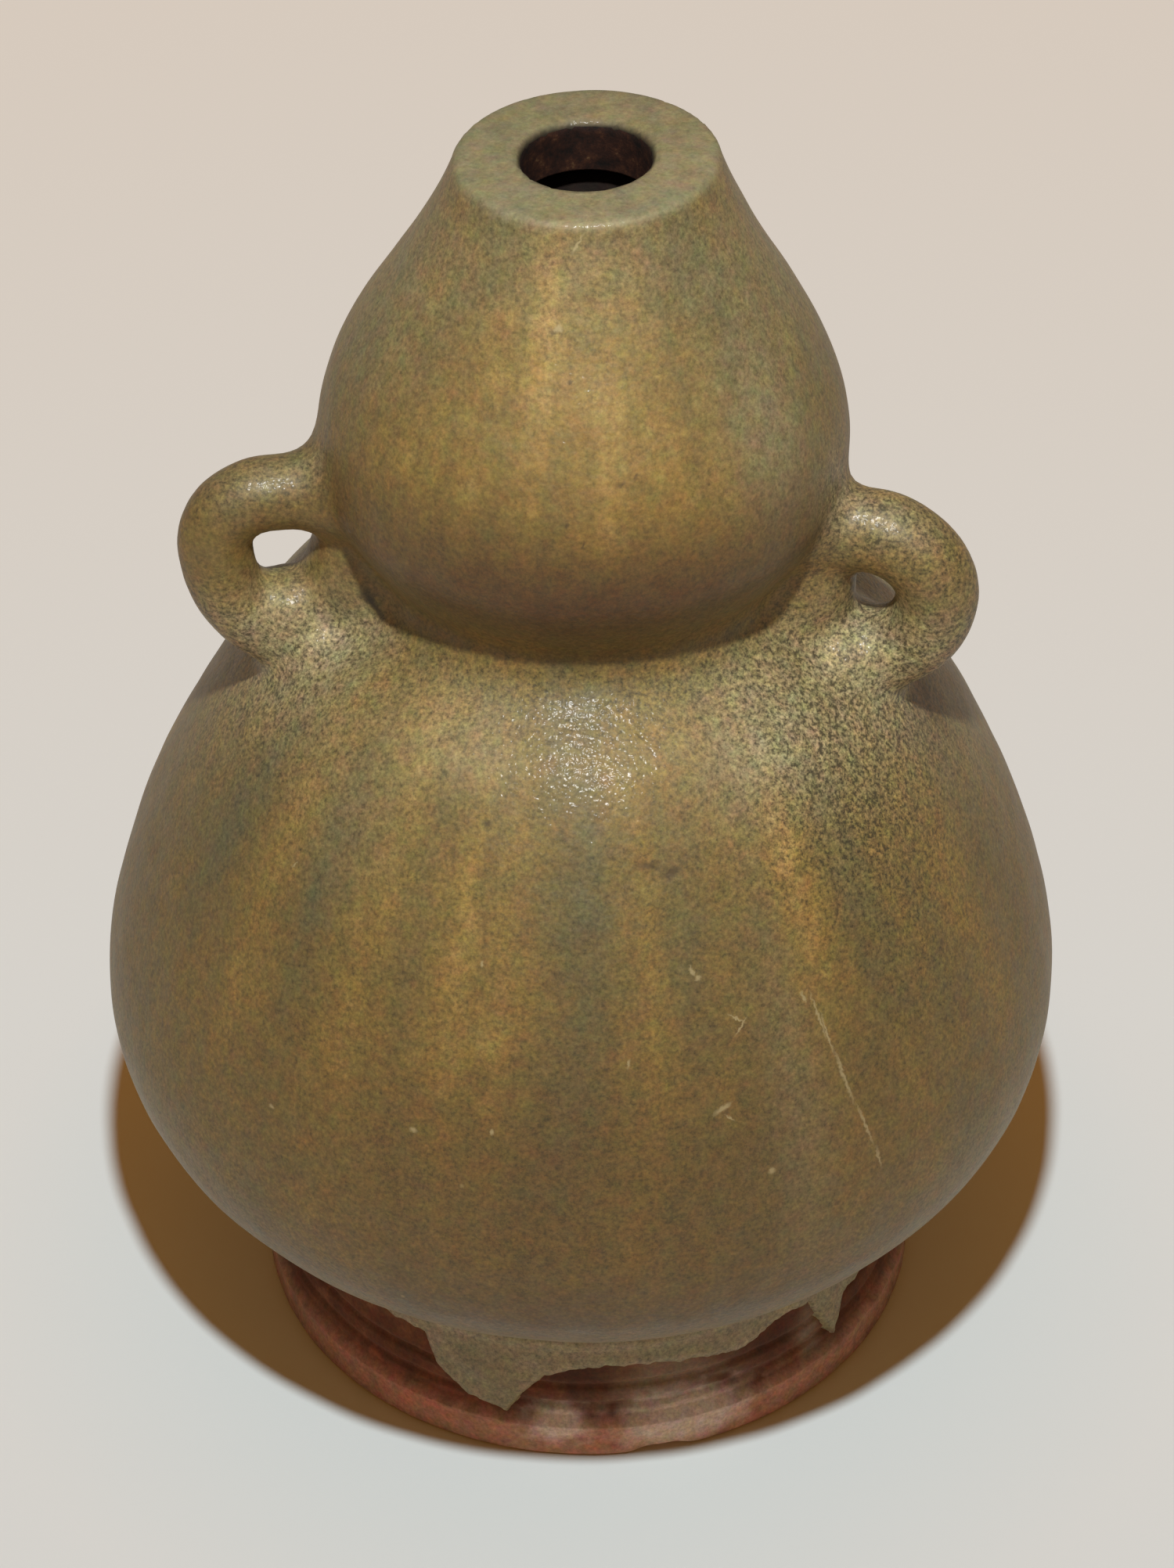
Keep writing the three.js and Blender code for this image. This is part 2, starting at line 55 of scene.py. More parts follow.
# Outside of the glaze at its stations, as radius and height
TOTAL_HEIGHT = top_of("upper_glaze")
UNDERCUT = (27.8, 13.0)
BELLY = (40.5, 33.1)
SHOULDER = (22.7, 70.7)
WAIST = (17.1, 76.6)
CROWN = (20.85, 85.65)
MOUTH_RADIUS = 10.15
MOUTH_ROUNDING = 0.7
BORE_RADIUS = 4.95
LIP_ROUNDING = 0.6
GLAZE_THICKNESS = 0.9
WELD_DISTANCE = 0.002
LINING_DEPTH = 4.25
BORE_BLIND_DEPTH = 7.0

# Bezier arms of the outline, as shares of the rise that each spans
undercutArmShare, undercutLeanShare, bellyLowerShare = 0.335, 0.734, 0.527
bellyUpperShare, shoulderSlopeShare, shoulderLowerShare = 0.318, 1.32, 0.121
shoulderUpperShare, waistLowerShare, waistUpperShare = 0.35, 0.45, 0.25
crownLowerShare, crownUpperShare, mouthArmShare, mouthLeanShare = 0.5, 0.378, 0.426, 0.379

# Foot
FOOT_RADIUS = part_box("foot_ring")[1].x / MM
FOOT_TOP = top_of("foot_ring")
FOOT_INNER_RADIUS = 22.5
FOOT_TOP_RADIUS = 27.0
FOOT_BEVEL = 0.6
FOOT_BAND_HEIGHT = 3.7
FOOT_STEP = 0.7
SEAT_SLOPE = 0.72
GROOVE_HEIGHTS = (5.5, 7.5)
GROOVE_DEPTH = 0.35
GROOVE_WIDTH = 0.9

# Loops, measured over their glaze: side, degrees that they lean to the front, coil radius, place,
# reach and rise of the centre line over and under its middle, and width of the hole
LOOPS = {
    "left": dict(side=-1, lean=16, coil=2.95, standoff=8, lift=11, reach=(4.25, 7.3),
                 rise=(4.15, 9.55), hole_width=3.9),
    "right": dict(side=1, lean=9, coil=3.25, standoff=5.85, lift=5.4, reach=(5.8, 6.1),
                  rise=(5.3, 6.2), hole_width=3.2),
}
COIL_ROOT_DEPTH = 3.0
COIL_SPREAD = 0.1
COIL_SPREAD_REACH = (2.2, 3.5)
COLLAR_SINK = 0.6
COLLAR_HALF = (2.6, 4.6, 4.4)
SADDLE_WIDTH = 5.2
SADDLE_HEIGHT = 6.5
HOLE_DROP = 3.5
WEB_DEPTH = 2.8
WEB_WIDTH = 3.8
PAD_OVERHANG = 3.2
PAD_WIDTH = 5.0
PAD_CREST = 1.9

# Edge of the glaze round the foot, as degrees from the front and heights. The places up to 70
# degrees follow the runs that show, and the rest carry them on round the back.
GLAZE_EDGE = [
    (-40, 10.4), (-24.3, 10.1), (-21.5, 7.2), (-16.5, 5.5), (-10.5, 4.8), (-8, 4.45), (-5.5, 6.4),
    (-1.5, 8.7), (4, 9.6), (14, 9.7), (26, 9.1), (33, 8.7), (37.5, 8.9), (41.5, 10.0), (49.5, 9.6),
    (51, 8.2), (52.6, 6.4), (54.5, 4.8), (56.2, 5.6), (58.5, 7.6), (64, 8.2), (70, 9.6),
    (84, 10.4), (103, 9.8), (112, 7.6), (118, 6.9), (126, 9.4), (146, 10.6), (163, 9.4),
    (171, 6.8), (176, 6.2), (186, 8.9), (208, 10.5), (228, 10.0), (236, 7.4), (240, 6.9),
    (247, 9.7), (268, 10.6), (302, 10.3),
]
EDGE_BEAD_WIDTH = 1.0
EDGE_BEAD_HEIGHT = 0.62

# The photograph looks at the vase from this far round from its front
VIEW_TURN = math.radians(6)

# The hand-made lean of the pot: how far its middle wanders to the right at each height, and how
# much its mouth tips
WANDER = [
    (0, 0.37), (10, 0.3), (14, 0), (33, -0.3), (66, -0.15), (78, 0), (96, 0), (TOTAL_HEIGHT, 0.22),
]
MOUTH_TIP = 0.03
MOUTH_TIP_FROM = 92

# Lumps that the hand leaves in the coat: depth, size, and how much finer they are across and down
# the pot. They fade towards the mouth, over the span below it.
LUMPS = [(0.16, 22, 1, 1), (0.07, 7, 1, 1), (0.05, 2.6, 0.5, 1), (0.05, 8, 2, 0.3)]
MOUTH_LUMP_SHARE = 0.25
MOUTH_LUMP_SPAN = (1, 6)

# Fineness of the turned pieces and of the loops
BODY_STEPS, CORE_STEPS, SKIRT_STEPS, FOOT_STEPS = 160, 64, 720, 600
STRAIGHT_POINTS, BEND_POINTS = 13, 21
ROWS_AT_ONCE = 4000


# Shapes

def bezier(start, start_arm, end_arm, end, steps):
    """Points of one Bezier span, as rows of radius and height."""
    t = np.linspace(0, 1, steps + 1)[:, None]
    a, d = np.array(start, float), np.array(end, float)
    b, c = a + np.array(start_arm), d + np.array(end_arm)
    return (1 - t) ** 3 * a + 3 * (1 - t) ** 2 * t * b + 3 * (1 - t) * t ** 2 * c + t ** 3 * d


def arc(centre, radius, start, end, steps):
    t = np.radians(np.linspace(start, end, steps + 1))
    return np.array(centre) + radius * np.c_[np.cos(t), np.sin(t)]


def glaze_outline(fineness):
    """The outside of the glaze from the undercut above the foot to the edge of the mouth."""
    mouth = (MOUTH_RADIUS, TOTAL_HEIGHT - MOUTH_ROUNDING)
    belly_rise = BELLY[1] - UNDERCUT[1]
    shoulder_rise = SHOULDER[1] - BELLY[1]
    neck_rise = WAIST[1] - SHOULDER[1]
    crown_rise = CROWN[1] - WAIST[1]
    mouth_rise = TOTAL_HEIGHT - CROWN[1]
    low, high = belly_rise * undercutArmShare, mouth_rise * mouthArmShare
    inner, outer = shoulder_rise * shoulderLowerShare, neck_rise * shoulderUpperShare
    spans = [
        bezier(UNDERCUT, (low * undercutLeanShare, low),
               (0, -belly_rise * bellyLowerShare), BELLY, 8 * fineness),
        bezier(BELLY, (0, shoulder_rise * bellyUpperShare),
               (inner * shoulderSlopeShare, -inner), SHOULDER, 14 * fineness),
        bezier(SHOULDER, (-outer * shoulderSlopeShare, outer),
               (0, -neck_rise * waistLowerShare), WAIST, 5 * fineness),
        bezier(WAIST, (0, crown_rise * waistUpperShare),
               (0, -crown_rise * crownLowerShare), CROWN, 6 * fineness),
        bezier(CROWN, (0, mouth_rise * crownUpperShare),
               (high * mouthLeanShare, -high), mouth, 10 * fineness),
    ]
    return np.vstack([spans[0]] + [span[1:] for span in spans[1:]])


def mouth_outline():
    """Over the edge of the mouth, across its face and down into the bore."""
    top = TOTAL_HEIGHT
    edge = arc((MOUTH_RADIUS - MOUTH_ROUNDING, top - MOUTH_ROUNDING), MOUTH_ROUNDING, 0, 90, 4)
    lip = arc((BORE_RADIUS + LIP_ROUNDING, top - LIP_ROUNDING), LIP_ROUNDING, 90, 180, 4)
    return np.vstack([edge, lip])


def inset(outline, distance):
    """The outline moved into the wall by a distance square to it."""
    along = np.gradient(outline, axis=0)
    along /= np.linalg.norm(along, axis=1)[:, None]
    return outline + distance * np.c_[-along[:, 1], along[:, 0]]


FINE_OUTLINE = glaze_outline(4)


def shoulder_height(radius):
    """The height at which the outside comes in to a radius, between the belly and the waist."""
    part = FINE_OUTLINE[(FINE_OUTLINE[:, 1] >= BELLY[1]) & (FINE_OUTLINE[:, 1] <= WAIST[1])]
    return float(np.interp(radius, part[::-1, 0], part[::-1, 1]))


def outside_radius(height):
    return np.interp(height, FINE_OUTLINE[:, 1], FINE_OUTLINE[:, 0])


def foot_wall(height):
    """Radius of the turned wall above the band of the foot, without its grooves."""
    low = FOOT_BAND_HEIGHT + FOOT_STEP
    share = (np.asarray(height, float) - low) / (FOOT_TOP - low)
    return FOOT_RADIUS - FOOT_STEP + (FOOT_TOP_RADIUS - FOOT_RADIUS + FOOT_STEP) * share


# Modelling, as by hand

def deselect():
    if bpy.context.object and bpy.context.object.mode != "OBJECT":
        bpy.ops.object.mode_set(mode="OBJECT")
    bpy.ops.object.select_all(action="DESELECT")


def pick(*pieces):
    deselect()
    for piece in pieces:
        piece.select_set(True)
    bpy.context.view_layer.objects.active = pieces[0]


def spun(name, outline, steps):
    """A turned piece. Its outline is drawn beside the axis corner by corner, then spun."""
    deselect()
    bpy.ops.mesh.primitive_plane_add(size=MM)
    piece = bpy.context.object
    piece.name = piece.data.name = name
    bpy.ops.object.mode_set(mode="EDIT")
    bpy.ops.mesh.select_mode(type="VERT")
    bpy.ops.mesh.select_all(action="SELECT")
    bpy.ops.mesh.merge(type="CENTER")
    corners = [Vector((radius, 0, height)) * MM for radius, height in outline]
    bpy.ops.transform.translate(value=corners[0])
    for here, there in zip(corners, corners[1:]):
        bpy.ops.mesh.extrude_vertices_move(TRANSFORM_OT_translate={"value": there - here})
    bpy.ops.mesh.select_all(action="SELECT")
    bpy.ops.mesh.spin(steps=steps, angle=2 * math.pi, center=(0, 0, 0), axis=(0, 0, 1))
    bpy.ops.mesh.select_all(action="SELECT")
    bpy.ops.mesh.remove_doubles(threshold=WELD_DISTANCE * MM)
    bpy.ops.mesh.normals_make_consistent(inside=False)
    bpy.ops.object.mode_set(mode="OBJECT")
    return piece


def wad(name, line, centre, half, tilt=0.0):
    """A rounded wad of clay on a loop: a ball pressed to its half sizes and tilted about Y."""
    deselect()
    bpy.ops.mesh.primitive_uv_sphere_add(segments=40, ring_count=24, radius=MM)
    piece = bpy.context.object
    piece.name = name
    bpy.ops.object.mode_set(mode="EDIT")
    bpy.ops.mesh.select_all(action="SELECT")
    bpy.ops.transform.resize(value=half, center_override=(0, 0, 0))
    bpy.ops.object.mode_set(mode="OBJECT")
    placed = Matrix.Translation(Vector(centre) * MM) @ Matrix.Rotation(tilt, 4, "Y")
    piece.data.transform(Matrix.Rotation(line.turn, 4, "Z") @ placed)
    return piece


class LoopLine:
    """The centre line of a loop before it is turned to the front: straight out of the upper bulb,
    then over and down."""

    def __init__(self, side, lean, coil, standoff, lift, reach, rise, hole_width):
        self.side, self.coil, self.hole_width = side, coil, hole_width
        self.turn = math.radians(-side * lean)
        self.centre = WAIST[0] + standoff
        self.middle = shoulder_height(self.centre) + lift
        self.top = self.middle + rise[0]
        self.root = float(outside_radius(self.top))
        self.hole = self.centre + reach[0] - coil - hole_width
        start = self.root - GLAZE_THICKNESS - COIL_ROOT_DEPTH
        t = np.linspace(0, math.pi / 2, BEND_POINTS)
        straight = np.c_[np.linspace(start, self.centre, STRAIGHT_POINTS),
                         np.full(STRAIGHT_POINTS, self.top)]
        over = np.c_[self.centre + reach[0] * np.sin(t), self.middle + rise[0] * np.cos(t)]
        outermost = self.centre + reach[0]
        down = np.c_[outermost - reach[1] * (1 - np.cos(t)), self.middle - rise[1] * np.sin(t)]
        self.points = np.vstack([straight, over[1:], down[1:]])
        below = self.points[:, 1] < [shoulder_height(r) for r in self.points[:, 0]]
        landed = np.argmax(below & (self.points[:, 1] < self.middle))
        self.landing = self.points[landed]

    def turned_out(self, rows):
        return rows @ np.array(Matrix.Rotation(-self.turn, 3, "Z"))

    def turned_back(self, rows):
        """Rows as they lie before the loop is turned to the front."""
        return rows @ np.array(Matrix.Rotation(self.turn, 3, "Z"))

    def thickness(self):
        """Radius of the coil along its line: it spreads a little where it is pressed on."""
        run = np.r_[0, np.linalg.norm(np.diff(self.points, axis=0), axis=1).cumsum()]
        root = run[np.argmax(self.points[:, 0] > self.root)]
        landed = run[np.argmax(np.all(self.points == self.landing, axis=1))]
        spread = sum(COIL_SPREAD * np.exp(-((run - place) / reach) ** 2)
                     for place, reach in zip((root, landed), COIL_SPREAD_REACH))
        return self.coil * (1 + spread)


def coil(name, line):
    deselect()
    curve = bpy.data.curves.new(name, "CURVE")
    curve.dimensions = "3D"
    curve.bevel_depth = MM
    curve.bevel_resolution = 10
    curve.use_fill_caps = True
    spline = curve.splines.new("POLY")
    spline.points.add(len(line.points) - 1)
    for point, (radius, height), thick in zip(spline.points, line.points, line.thickness()):
        point.co = (line.side * radius * MM, 0, height * MM, 1)
        point.radius = thick
    piece = bpy.data.objects.new(name, curve)
    bpy.context.scene.collection.objects.link(piece)
    pick(piece)
    bpy.ops.object.convert(target="MESH")
    piece = bpy.context.object
    piece.data.transform(Matrix.Rotation(line.turn, 4, "Z"))
    return piece


def modifier(piece, kind, **settings):
    pick(piece)
    made = piece.modifiers.new(kind.lower(), kind)
    for name, value in settings.items():
        setattr(made, name, value)
    bpy.ops.object.modifier_apply(modifier=made.name)


def corners_of(piece):
    """The piece's vertices in millimetres, one row each."""
    flat = np.empty(len(piece.data.vertices) * 3)
    piece.data.vertices.foreach_get("co", flat)
    return flat.reshape(-1, 3) / MM


def normals_of(piece):
    flat = np.empty(len(piece.data.vertices) * 3)
    piece.data.vertices.foreach_get("normal", flat)
    return flat.reshape(-1, 3)


def move_corners(piece, rows):
    piece.data.vertices.foreach_set("co", (rows * MM).ravel())
    piece.data.update()


def smoothstep(low, high, value):
    t = np.clip((value - low) / (high - low), 0, 1)
    return t * t * (3 - 2 * t)


def rough(rows, size, seed):
    """Smooth noise from -1 to 1 at each row, with lumps of about this size."""
    offset = Vector((seed * 17.3, seed * 5.1, seed * 9.7))
    return np.array([noise.noise(Vector(row) / size + offset) for row in rows])


def nearest_on(path, rows):
    """The point of an open path nearest to each row, and the path's outward normal there."""
    start, step = path[:-1], np.diff(path, axis=0)
    length = (step ** 2).sum(1)
    points, normals = np.empty_like(rows), np.empty_like(rows)
    for first in range(0, len(rows), ROWS_AT_ONCE):
        block = slice(first, first + ROWS_AT_ONCE)
        part = rows[block]
        share = np.clip(((part[:, None] - start) * step).sum(2) / length, 0, 1)
        nearest = start + share[..., None] * step
        best = ((part[:, None] - nearest) ** 2).sum(2).argmin(1)
        points[block] = nearest[np.arange(len(part)), best]
        normals[block] = np.c_[step[best, 1], -step[best, 0]] / np.sqrt(length[best, None])
    return points, normals


def side_view(rows):
    """Radius and height of each row."""
    return np.c_[np.hypot(rows[:, 0], rows[:, 1]), rows[:, 2]]


def settle(rows):
    """The rows moved by the hand-made lean of the pot."""
    wander = np.interp(rows[:, 2], *np.array(WANDER, float).T)
    right = np.array((math.cos(VIEW_TURN), math.sin(VIEW_TURN)))
    moved = rows.copy()
    moved[:, :2] += wander[:, None] * right
    tip = smoothstep(MOUTH_TIP_FROM, TOTAL_HEIGHT, rows[:, 2])
    moved[:, 2] += MOUTH_TIP * (rows[:, :2] * right).sum(1) * tip
    return moved


# The coat of glaze: both bulbs and both loops in one skin

VOXEL = 0.6
SMOOTHING_ROUNDS = 20
LAST_SMOOTHING_ROUNDS = 2
SEAT_INSET = 0.5
SEAT_EDGE = (0.1, 0.4)
BASE_SHARP = (0.3, 0.6)
BODY_FADE = (1.2, 4.6)
COIL_FADE = (1.0, 3.0)
SKIN_REACH = 1
LINING_FLARE = 0.4


def loop_wads(name, line):
    """The wads of slip round a loop's roots and in its crook: line, centre, half sizes, tilt."""
    side, hole = line.side, line.hole
    depth = hole - (WAIST[0] - GLAZE_THICKNESS)
    web_top, web_base = line.middle - HOLE_DROP, shoulder_height(hole) - GLAZE_THICKNESS
    pad_top = np.array([hole, shoulder_height(hole)])
    run = line.landing - pad_top
    middle = (pad_top + line.landing) / 2
    return {
        f"{name}_collar": (line, (side * (line.root - COLLAR_SINK), 0, line.top), COLLAR_HALF, 0),
        f"{name}_saddle": (line, (side * (hole - depth), 0, WAIST[1] - GLAZE_THICKNESS),
                           (depth, SADDLE_WIDTH, SADDLE_HEIGHT), 0),
        f"{name}_web": (line, (side * (hole + line.hole_width / 3), 0, (web_top + web_base) / 2),
                        (WEB_DEPTH, WEB_WIDTH, (web_top - web_base) / 2), 0),
        f"{name}_pad": (line, (side * middle[0], 0, middle[1]),
                        (np.linalg.norm(run) / 2 + PAD_OVERHANG, PAD_WIDTH, PAD_CREST),
                        -math.atan2(run[1], side * run[0])),
    }


def ball_distance(rows, line, centre, half, tilt):
    """Roughly how far each row lies outside a wad."""
    turn = np.array(Matrix.Rotation(-tilt, 3, "Y"))
    local = (line.turned_back(rows) - np.array(centre)) @ turn.T
    size = np.linalg.norm(local / np.array(half), axis=1)
    return (size - 1) * np.linalg.norm(local, axis=1) / np.maximum(size, 1e-6)


def around_coil(line, rows):
    """The point of a loop's centre line nearest to each row, and the way out from it."""
    back = line.turned_back(rows)
    flat = np.c_[back[:, 0] * line.side, back[:, 2]]
    centre, _ = nearest_on(line.points, flat)
    return centre, np.c_[flat - centre, back[:, 1]]


def glaze_coat():
    """The pot and its loops as one solid, joined softly, then drawn back to their true sizes."""
    lines = {name: LoopLine(**loop) for name, loop in LOOPS.items()}
    outside = glaze_outline(2)
    base = UNDERCUT[1] - GLAZE_THICKNESS
    blind = TOTAL_HEIGHT - BORE_BLIND_DEPTH
    seat = (UNDERCUT[0] - SEAT_EDGE[0], base + SEAT_EDGE[1])
    body = spun("glaze_coat", np.vstack([
        [(0, base), (UNDERCUT[0] - SEAT_INSET, base), seat], outside[:-1], mouth_outline(),
        [(BORE_RADIUS, blind), (0, blind)],
    ]), BODY_STEPS)
    wads = {}
    for name, line in lines.items():
        wads.update(loop_wads(name, line))
    pieces = [coil(f"{name}_coil", line) for name, line in lines.items()]
    pieces += [wad(name, *facts) for name, facts in wads.items()]
    pick(body, *pieces)
    bpy.ops.object.join()
    modifier(body, "REMESH", mode="VOXEL", voxel_size=VOXEL * MM, use_smooth_shade=True)

    rows = corners_of(body)
    profile = np.vstack([[seat], FINE_OUTLINE[:-1], mouth_outline(), [(BORE_RADIUS, blind)]])
    on_body, out_body = nearest_on(profile, side_view(rows))
    off_body = ((side_view(rows) - on_body) * out_body).sum(1)
    off_wads = np.min([ball_distance(rows, *facts) for facts in wads.values()], axis=0)
    off_coil = np.full(len(rows), np.inf)
    for line in lines.values():
        near = line.turned_back(rows)[:, 0] * line.side > 0
        _, away = around_coil(line, rows[near])
        off_coil[near] = np.minimum(off_coil[near], np.linalg.norm(away, axis=1) - line.coil)
    above_base = rows[:, 2] - base
    keep_body = smoothstep(*BODY_FADE, np.minimum(off_wads, off_coil))
    keep_body[above_base < BASE_SHARP[0]] = 0
    keep_coil = smoothstep(*COIL_FADE, np.minimum(off_body, off_wads)) * (off_coil < SKIN_REACH)
    group = body.vertex_groups.new(name="joints")
    loose = np.round(np.clip(1 - keep_body - keep_coil, 0, 1), 1)
    loose[above_base < BASE_SHARP[1]] = 0
    for share in np.unique(loose[loose > 0]):
        group.add(np.flatnonzero(loose == share).tolist(), float(share), "REPLACE")
    modifier(body, "SMOOTH", factor=0.5, iterations=SMOOTHING_ROUNDS, vertex_group="joints")
    body.vertex_groups.clear()
    modifier(body, "SMOOTH", factor=0.5, iterations=LAST_SMOOTHING_ROUNDS)

    rows = corners_of(body)
    flat = side_view(rows)
    on_body, out_body = nearest_on(profile, flat)
    scale = on_body[:, 0] / np.maximum(flat[:, 0], 1e-6)
    target = np.c_[rows[:, 0] * scale, rows[:, 1] * scale, on_body[:, 1]]
    off_body = np.abs(((flat - on_body) * out_body).sum(1))
    keep = np.where(off_body < SKIN_REACH, keep_body, 0)[:, None]
    rows = rows * (1 - keep) + target * keep
    for line in lines.values():
        near = (line.turned_back(rows)[:, 0] * line.side > 0) & (keep_coil > 0)
        centre, away = around_coil(line, rows[near])
        away *= (line.coil / np.linalg.norm(away, axis=1))[:, None]
        flat = centre + away[:, :2]
        target = np.c_[flat[:, 0] * line.side, away[:, 2], flat[:, 1]]
        share = keep_coil[near, None]
        rows[near] = rows[near] * (1 - share) + line.turned_out(target) * share
    move_corners(body, rows)

    relief = sum(depth * rough(rows * (level, level, upright), size, seed)
                 for seed, (depth, size, level, upright) in enumerate(LUMPS, 1))
    below_mouth = smoothstep(*MOUTH_LUMP_SPAN, TOTAL_HEIGHT - rows[:, 2])
    relief *= MOUTH_LUMP_SHARE + (1 - MOUTH_LUMP_SHARE) * below_mouth
    move_corners(body, rows + normals_of(body) * relief[:, None])
    return body


def hollow_out(body):
    """Takes the clay and the hollow out of the coat, so that only the glaze is left."""
    inner = inset(glaze_outline(1), GLAZE_THICKNESS)
    under_mouth = TOTAL_HEIGHT - GLAZE_THICKNESS
    inner = inner[(inner[:, 1] > UNDERCUT[1]) & (inner[:, 1] < under_mouth)]
    lining = BORE_RADIUS + GLAZE_THICKNESS
    low = UNDERCUT[1] - 2 * GLAZE_THICKNESS
    core = spun("core", np.vstack([
        [(0, low), (inner[0, 0], low)], inner,
        [(lining + LINING_FLARE, under_mouth), (lining, under_mouth),
         (lining, TOTAL_HEIGHT - LINING_DEPTH), (0, TOTAL_HEIGHT - LINING_DEPTH)],
    ]), CORE_STEPS)
    modifier(body, "BOOLEAN", operation="DIFFERENCE", object=core, solver="EXACT")
    bpy.data.objects.remove(core)


# Materials

def linear(code):
    """An sRGB hex colour as linear red, green, blue and alpha."""
    parts = [int(code[i:i + 2], 16) / 255 for i in (1, 3, 5)]
    return tuple(c / 12.92 if c <= 0.04045 else ((c + 0.055) / 1.055) ** 2.4 for c in parts) + (1,)


def add(tree, kind, inputs=None, out=0, stops=None, **settings):
    """Adds a node with its settings and links, and returns one of its outputs."""
    node = tree.nodes.new("ShaderNode" + kind)
    for name, value in settings.items():
        setattr(node, name, value)
    for name, value in (inputs or {}).items():
        if isinstance(value, bpy.types.NodeSocket):
            tree.links.new(value, node.inputs[name])
        else:
            node.inputs[name].default_value = value
    if stops:
        elements = node.color_ramp.elements
        while len(elements) < len(stops):
            elements.new(0.5)
        for element, (place, colour) in zip(elements, stops):
            element.position = place
            element.color = linear(colour)
    return node.outputs[out] if node.outputs else None


def material(name):
    made = bpy.data.materials.new(name)
    made.use_nodes = True
    made.node_tree.nodes.clear()
    return made, made.node_tree


# Near black of the bore: soot, and painted shade for its deep, unlit hollow
BORE_SOOT_AND_SHADE = "#0f0906"
ASH_GREY = "#938c6c"
# Brown that the shade washes mix into the glaze as painted shade
PAINTED_SHADE_BROWN = "#472a0e"
PINHOLE_PALE = "#a89866"

# Size in millimetres of each pattern in the glaze. The streaks have their width at the radius
# given, and the crystals are drawn a little coarser than the real ones, so that they show.
STREAK_WIDTH, STREAK_STRETCH, STREAK_RADIUS = 4.5, 0.12, 38
CLOUD_SIZE, MOTTLE_SIZE, GRAIN_SIZE, TINGE_SIZE, CRYSTAL_SIZE = 13, 2.4, 1.6, 1.5, 0.35
PEEL_SIZE, PEEL_DEPTH = 0.55, 0.05
PEBBLE_SIZE, PEBBLE_DEPTH = 0.45, 0.1
PINHOLE_SPACING = 5.2
MARK_WEAR_SIZE = 0.4
GRIME_SIZE, GRIME_DEPTH = 2.2, 0.12

# Marks on the skin of the glaze: degrees from the photographed front, height, half length and half
# width in millimetres, and degrees that the mark is turned from level
PITS = [
    (-10.0, 103.9, 0.40, 0.28, 10), (-4.0, 100.8, 0.28, 0.18, 30), (8.5, 94.2, 0.42, 0.22, 35),
    (12.0, 94.6, 0.40, 0.18, 60), (0.0, 89.9, 0.35, 0.16, 80), (-3.5, 91.4, 0.30, 0.20, 60),
    (10.5, 64.9, 1.30, 0.38, -8), (14.2, 64.3, 0.90, 0.42, 12), (-16.0, 67.2, 0.42, 0.3, 0),
]
CRACKS = [(-64.5, 75.9, 1.8, 0.4, -72)]
SCRATCHES = [
    (-3.6, 109.7, 1.0, 0.14, 60), (-8.6, 104.1, 0.4, 0.28, 0), (30.2, 53.6, 0.55, 0.13, -62),
    (31.7, 51.8, 2.3, 0.13, -68), (32.4, 50.3, 2.2, 0.12, -70), (33.5, 46.6, 2.9, 0.15, -68),
    (35.3, 42.0, 2.4, 0.14, -66), (36.6, 38.6, 1.2, 0.16, -75), (15.3, 57.6, 0.5, 0.16, -60),
    (16.0, 57.0, 0.3, 0.2, 0), (20.5, 53.6, 1.0, 0.1, -30), (20.9, 53.0, 0.8, 0.1, 50),
    (17.2, 47.2, 0.9, 0.24, 25), (18.0, 46.4, 0.5, 0.12, -40), (-39.0, 42.5, 0.32, 0.22, 0),
    (-20.0, 45.2, 0.34, 0.26, 20), (-10.5, 46.1, 0.3, 0.18, 80), (6.0, 51.6, 0.42, 0.16, 80),
    (22.5, 41.2, 0.34, 0.28, 0), (-46.5, 60.0, 0.5, 0.12, 40), (-13.8, 58.2, 0.3, 0.16, 70),
]

# How far a mark reaches from the body's outline, so that it doesn't run on along a loop
MARK_DEPTH = 4.0
MARK_EDGE = (1.1, 0.35)


def strokes(tree, skin, marks):
    """How much of a mark covers each point: one at its middle, none past its edge."""
    nearest = 2 * MARK_EDGE[0]
    for turn, height, half_length, half_width, tilt in marks:
        around = math.radians(turn) * float(outside_radius(height))
        local = add(tree, "Mapping", {
            "Vector": skin, "Location": (around, height, 0),
            "Rotation": (0, 0, math.radians(tilt)),
            "Scale": (half_length, half_width, MARK_DEPTH)}, vector_type="TEXTURE")
        distance = add(tree, "VectorMath", {0: local}, out="Value", operation="LENGTH")
        nearest = add(tree, "Math", {0: nearest, 1: distance}, operation="MINIMUM")
    return add(tree, "MapRange", {"Value": nearest, 1: MARK_EDGE[0], 2: MARK_EDGE[1]})


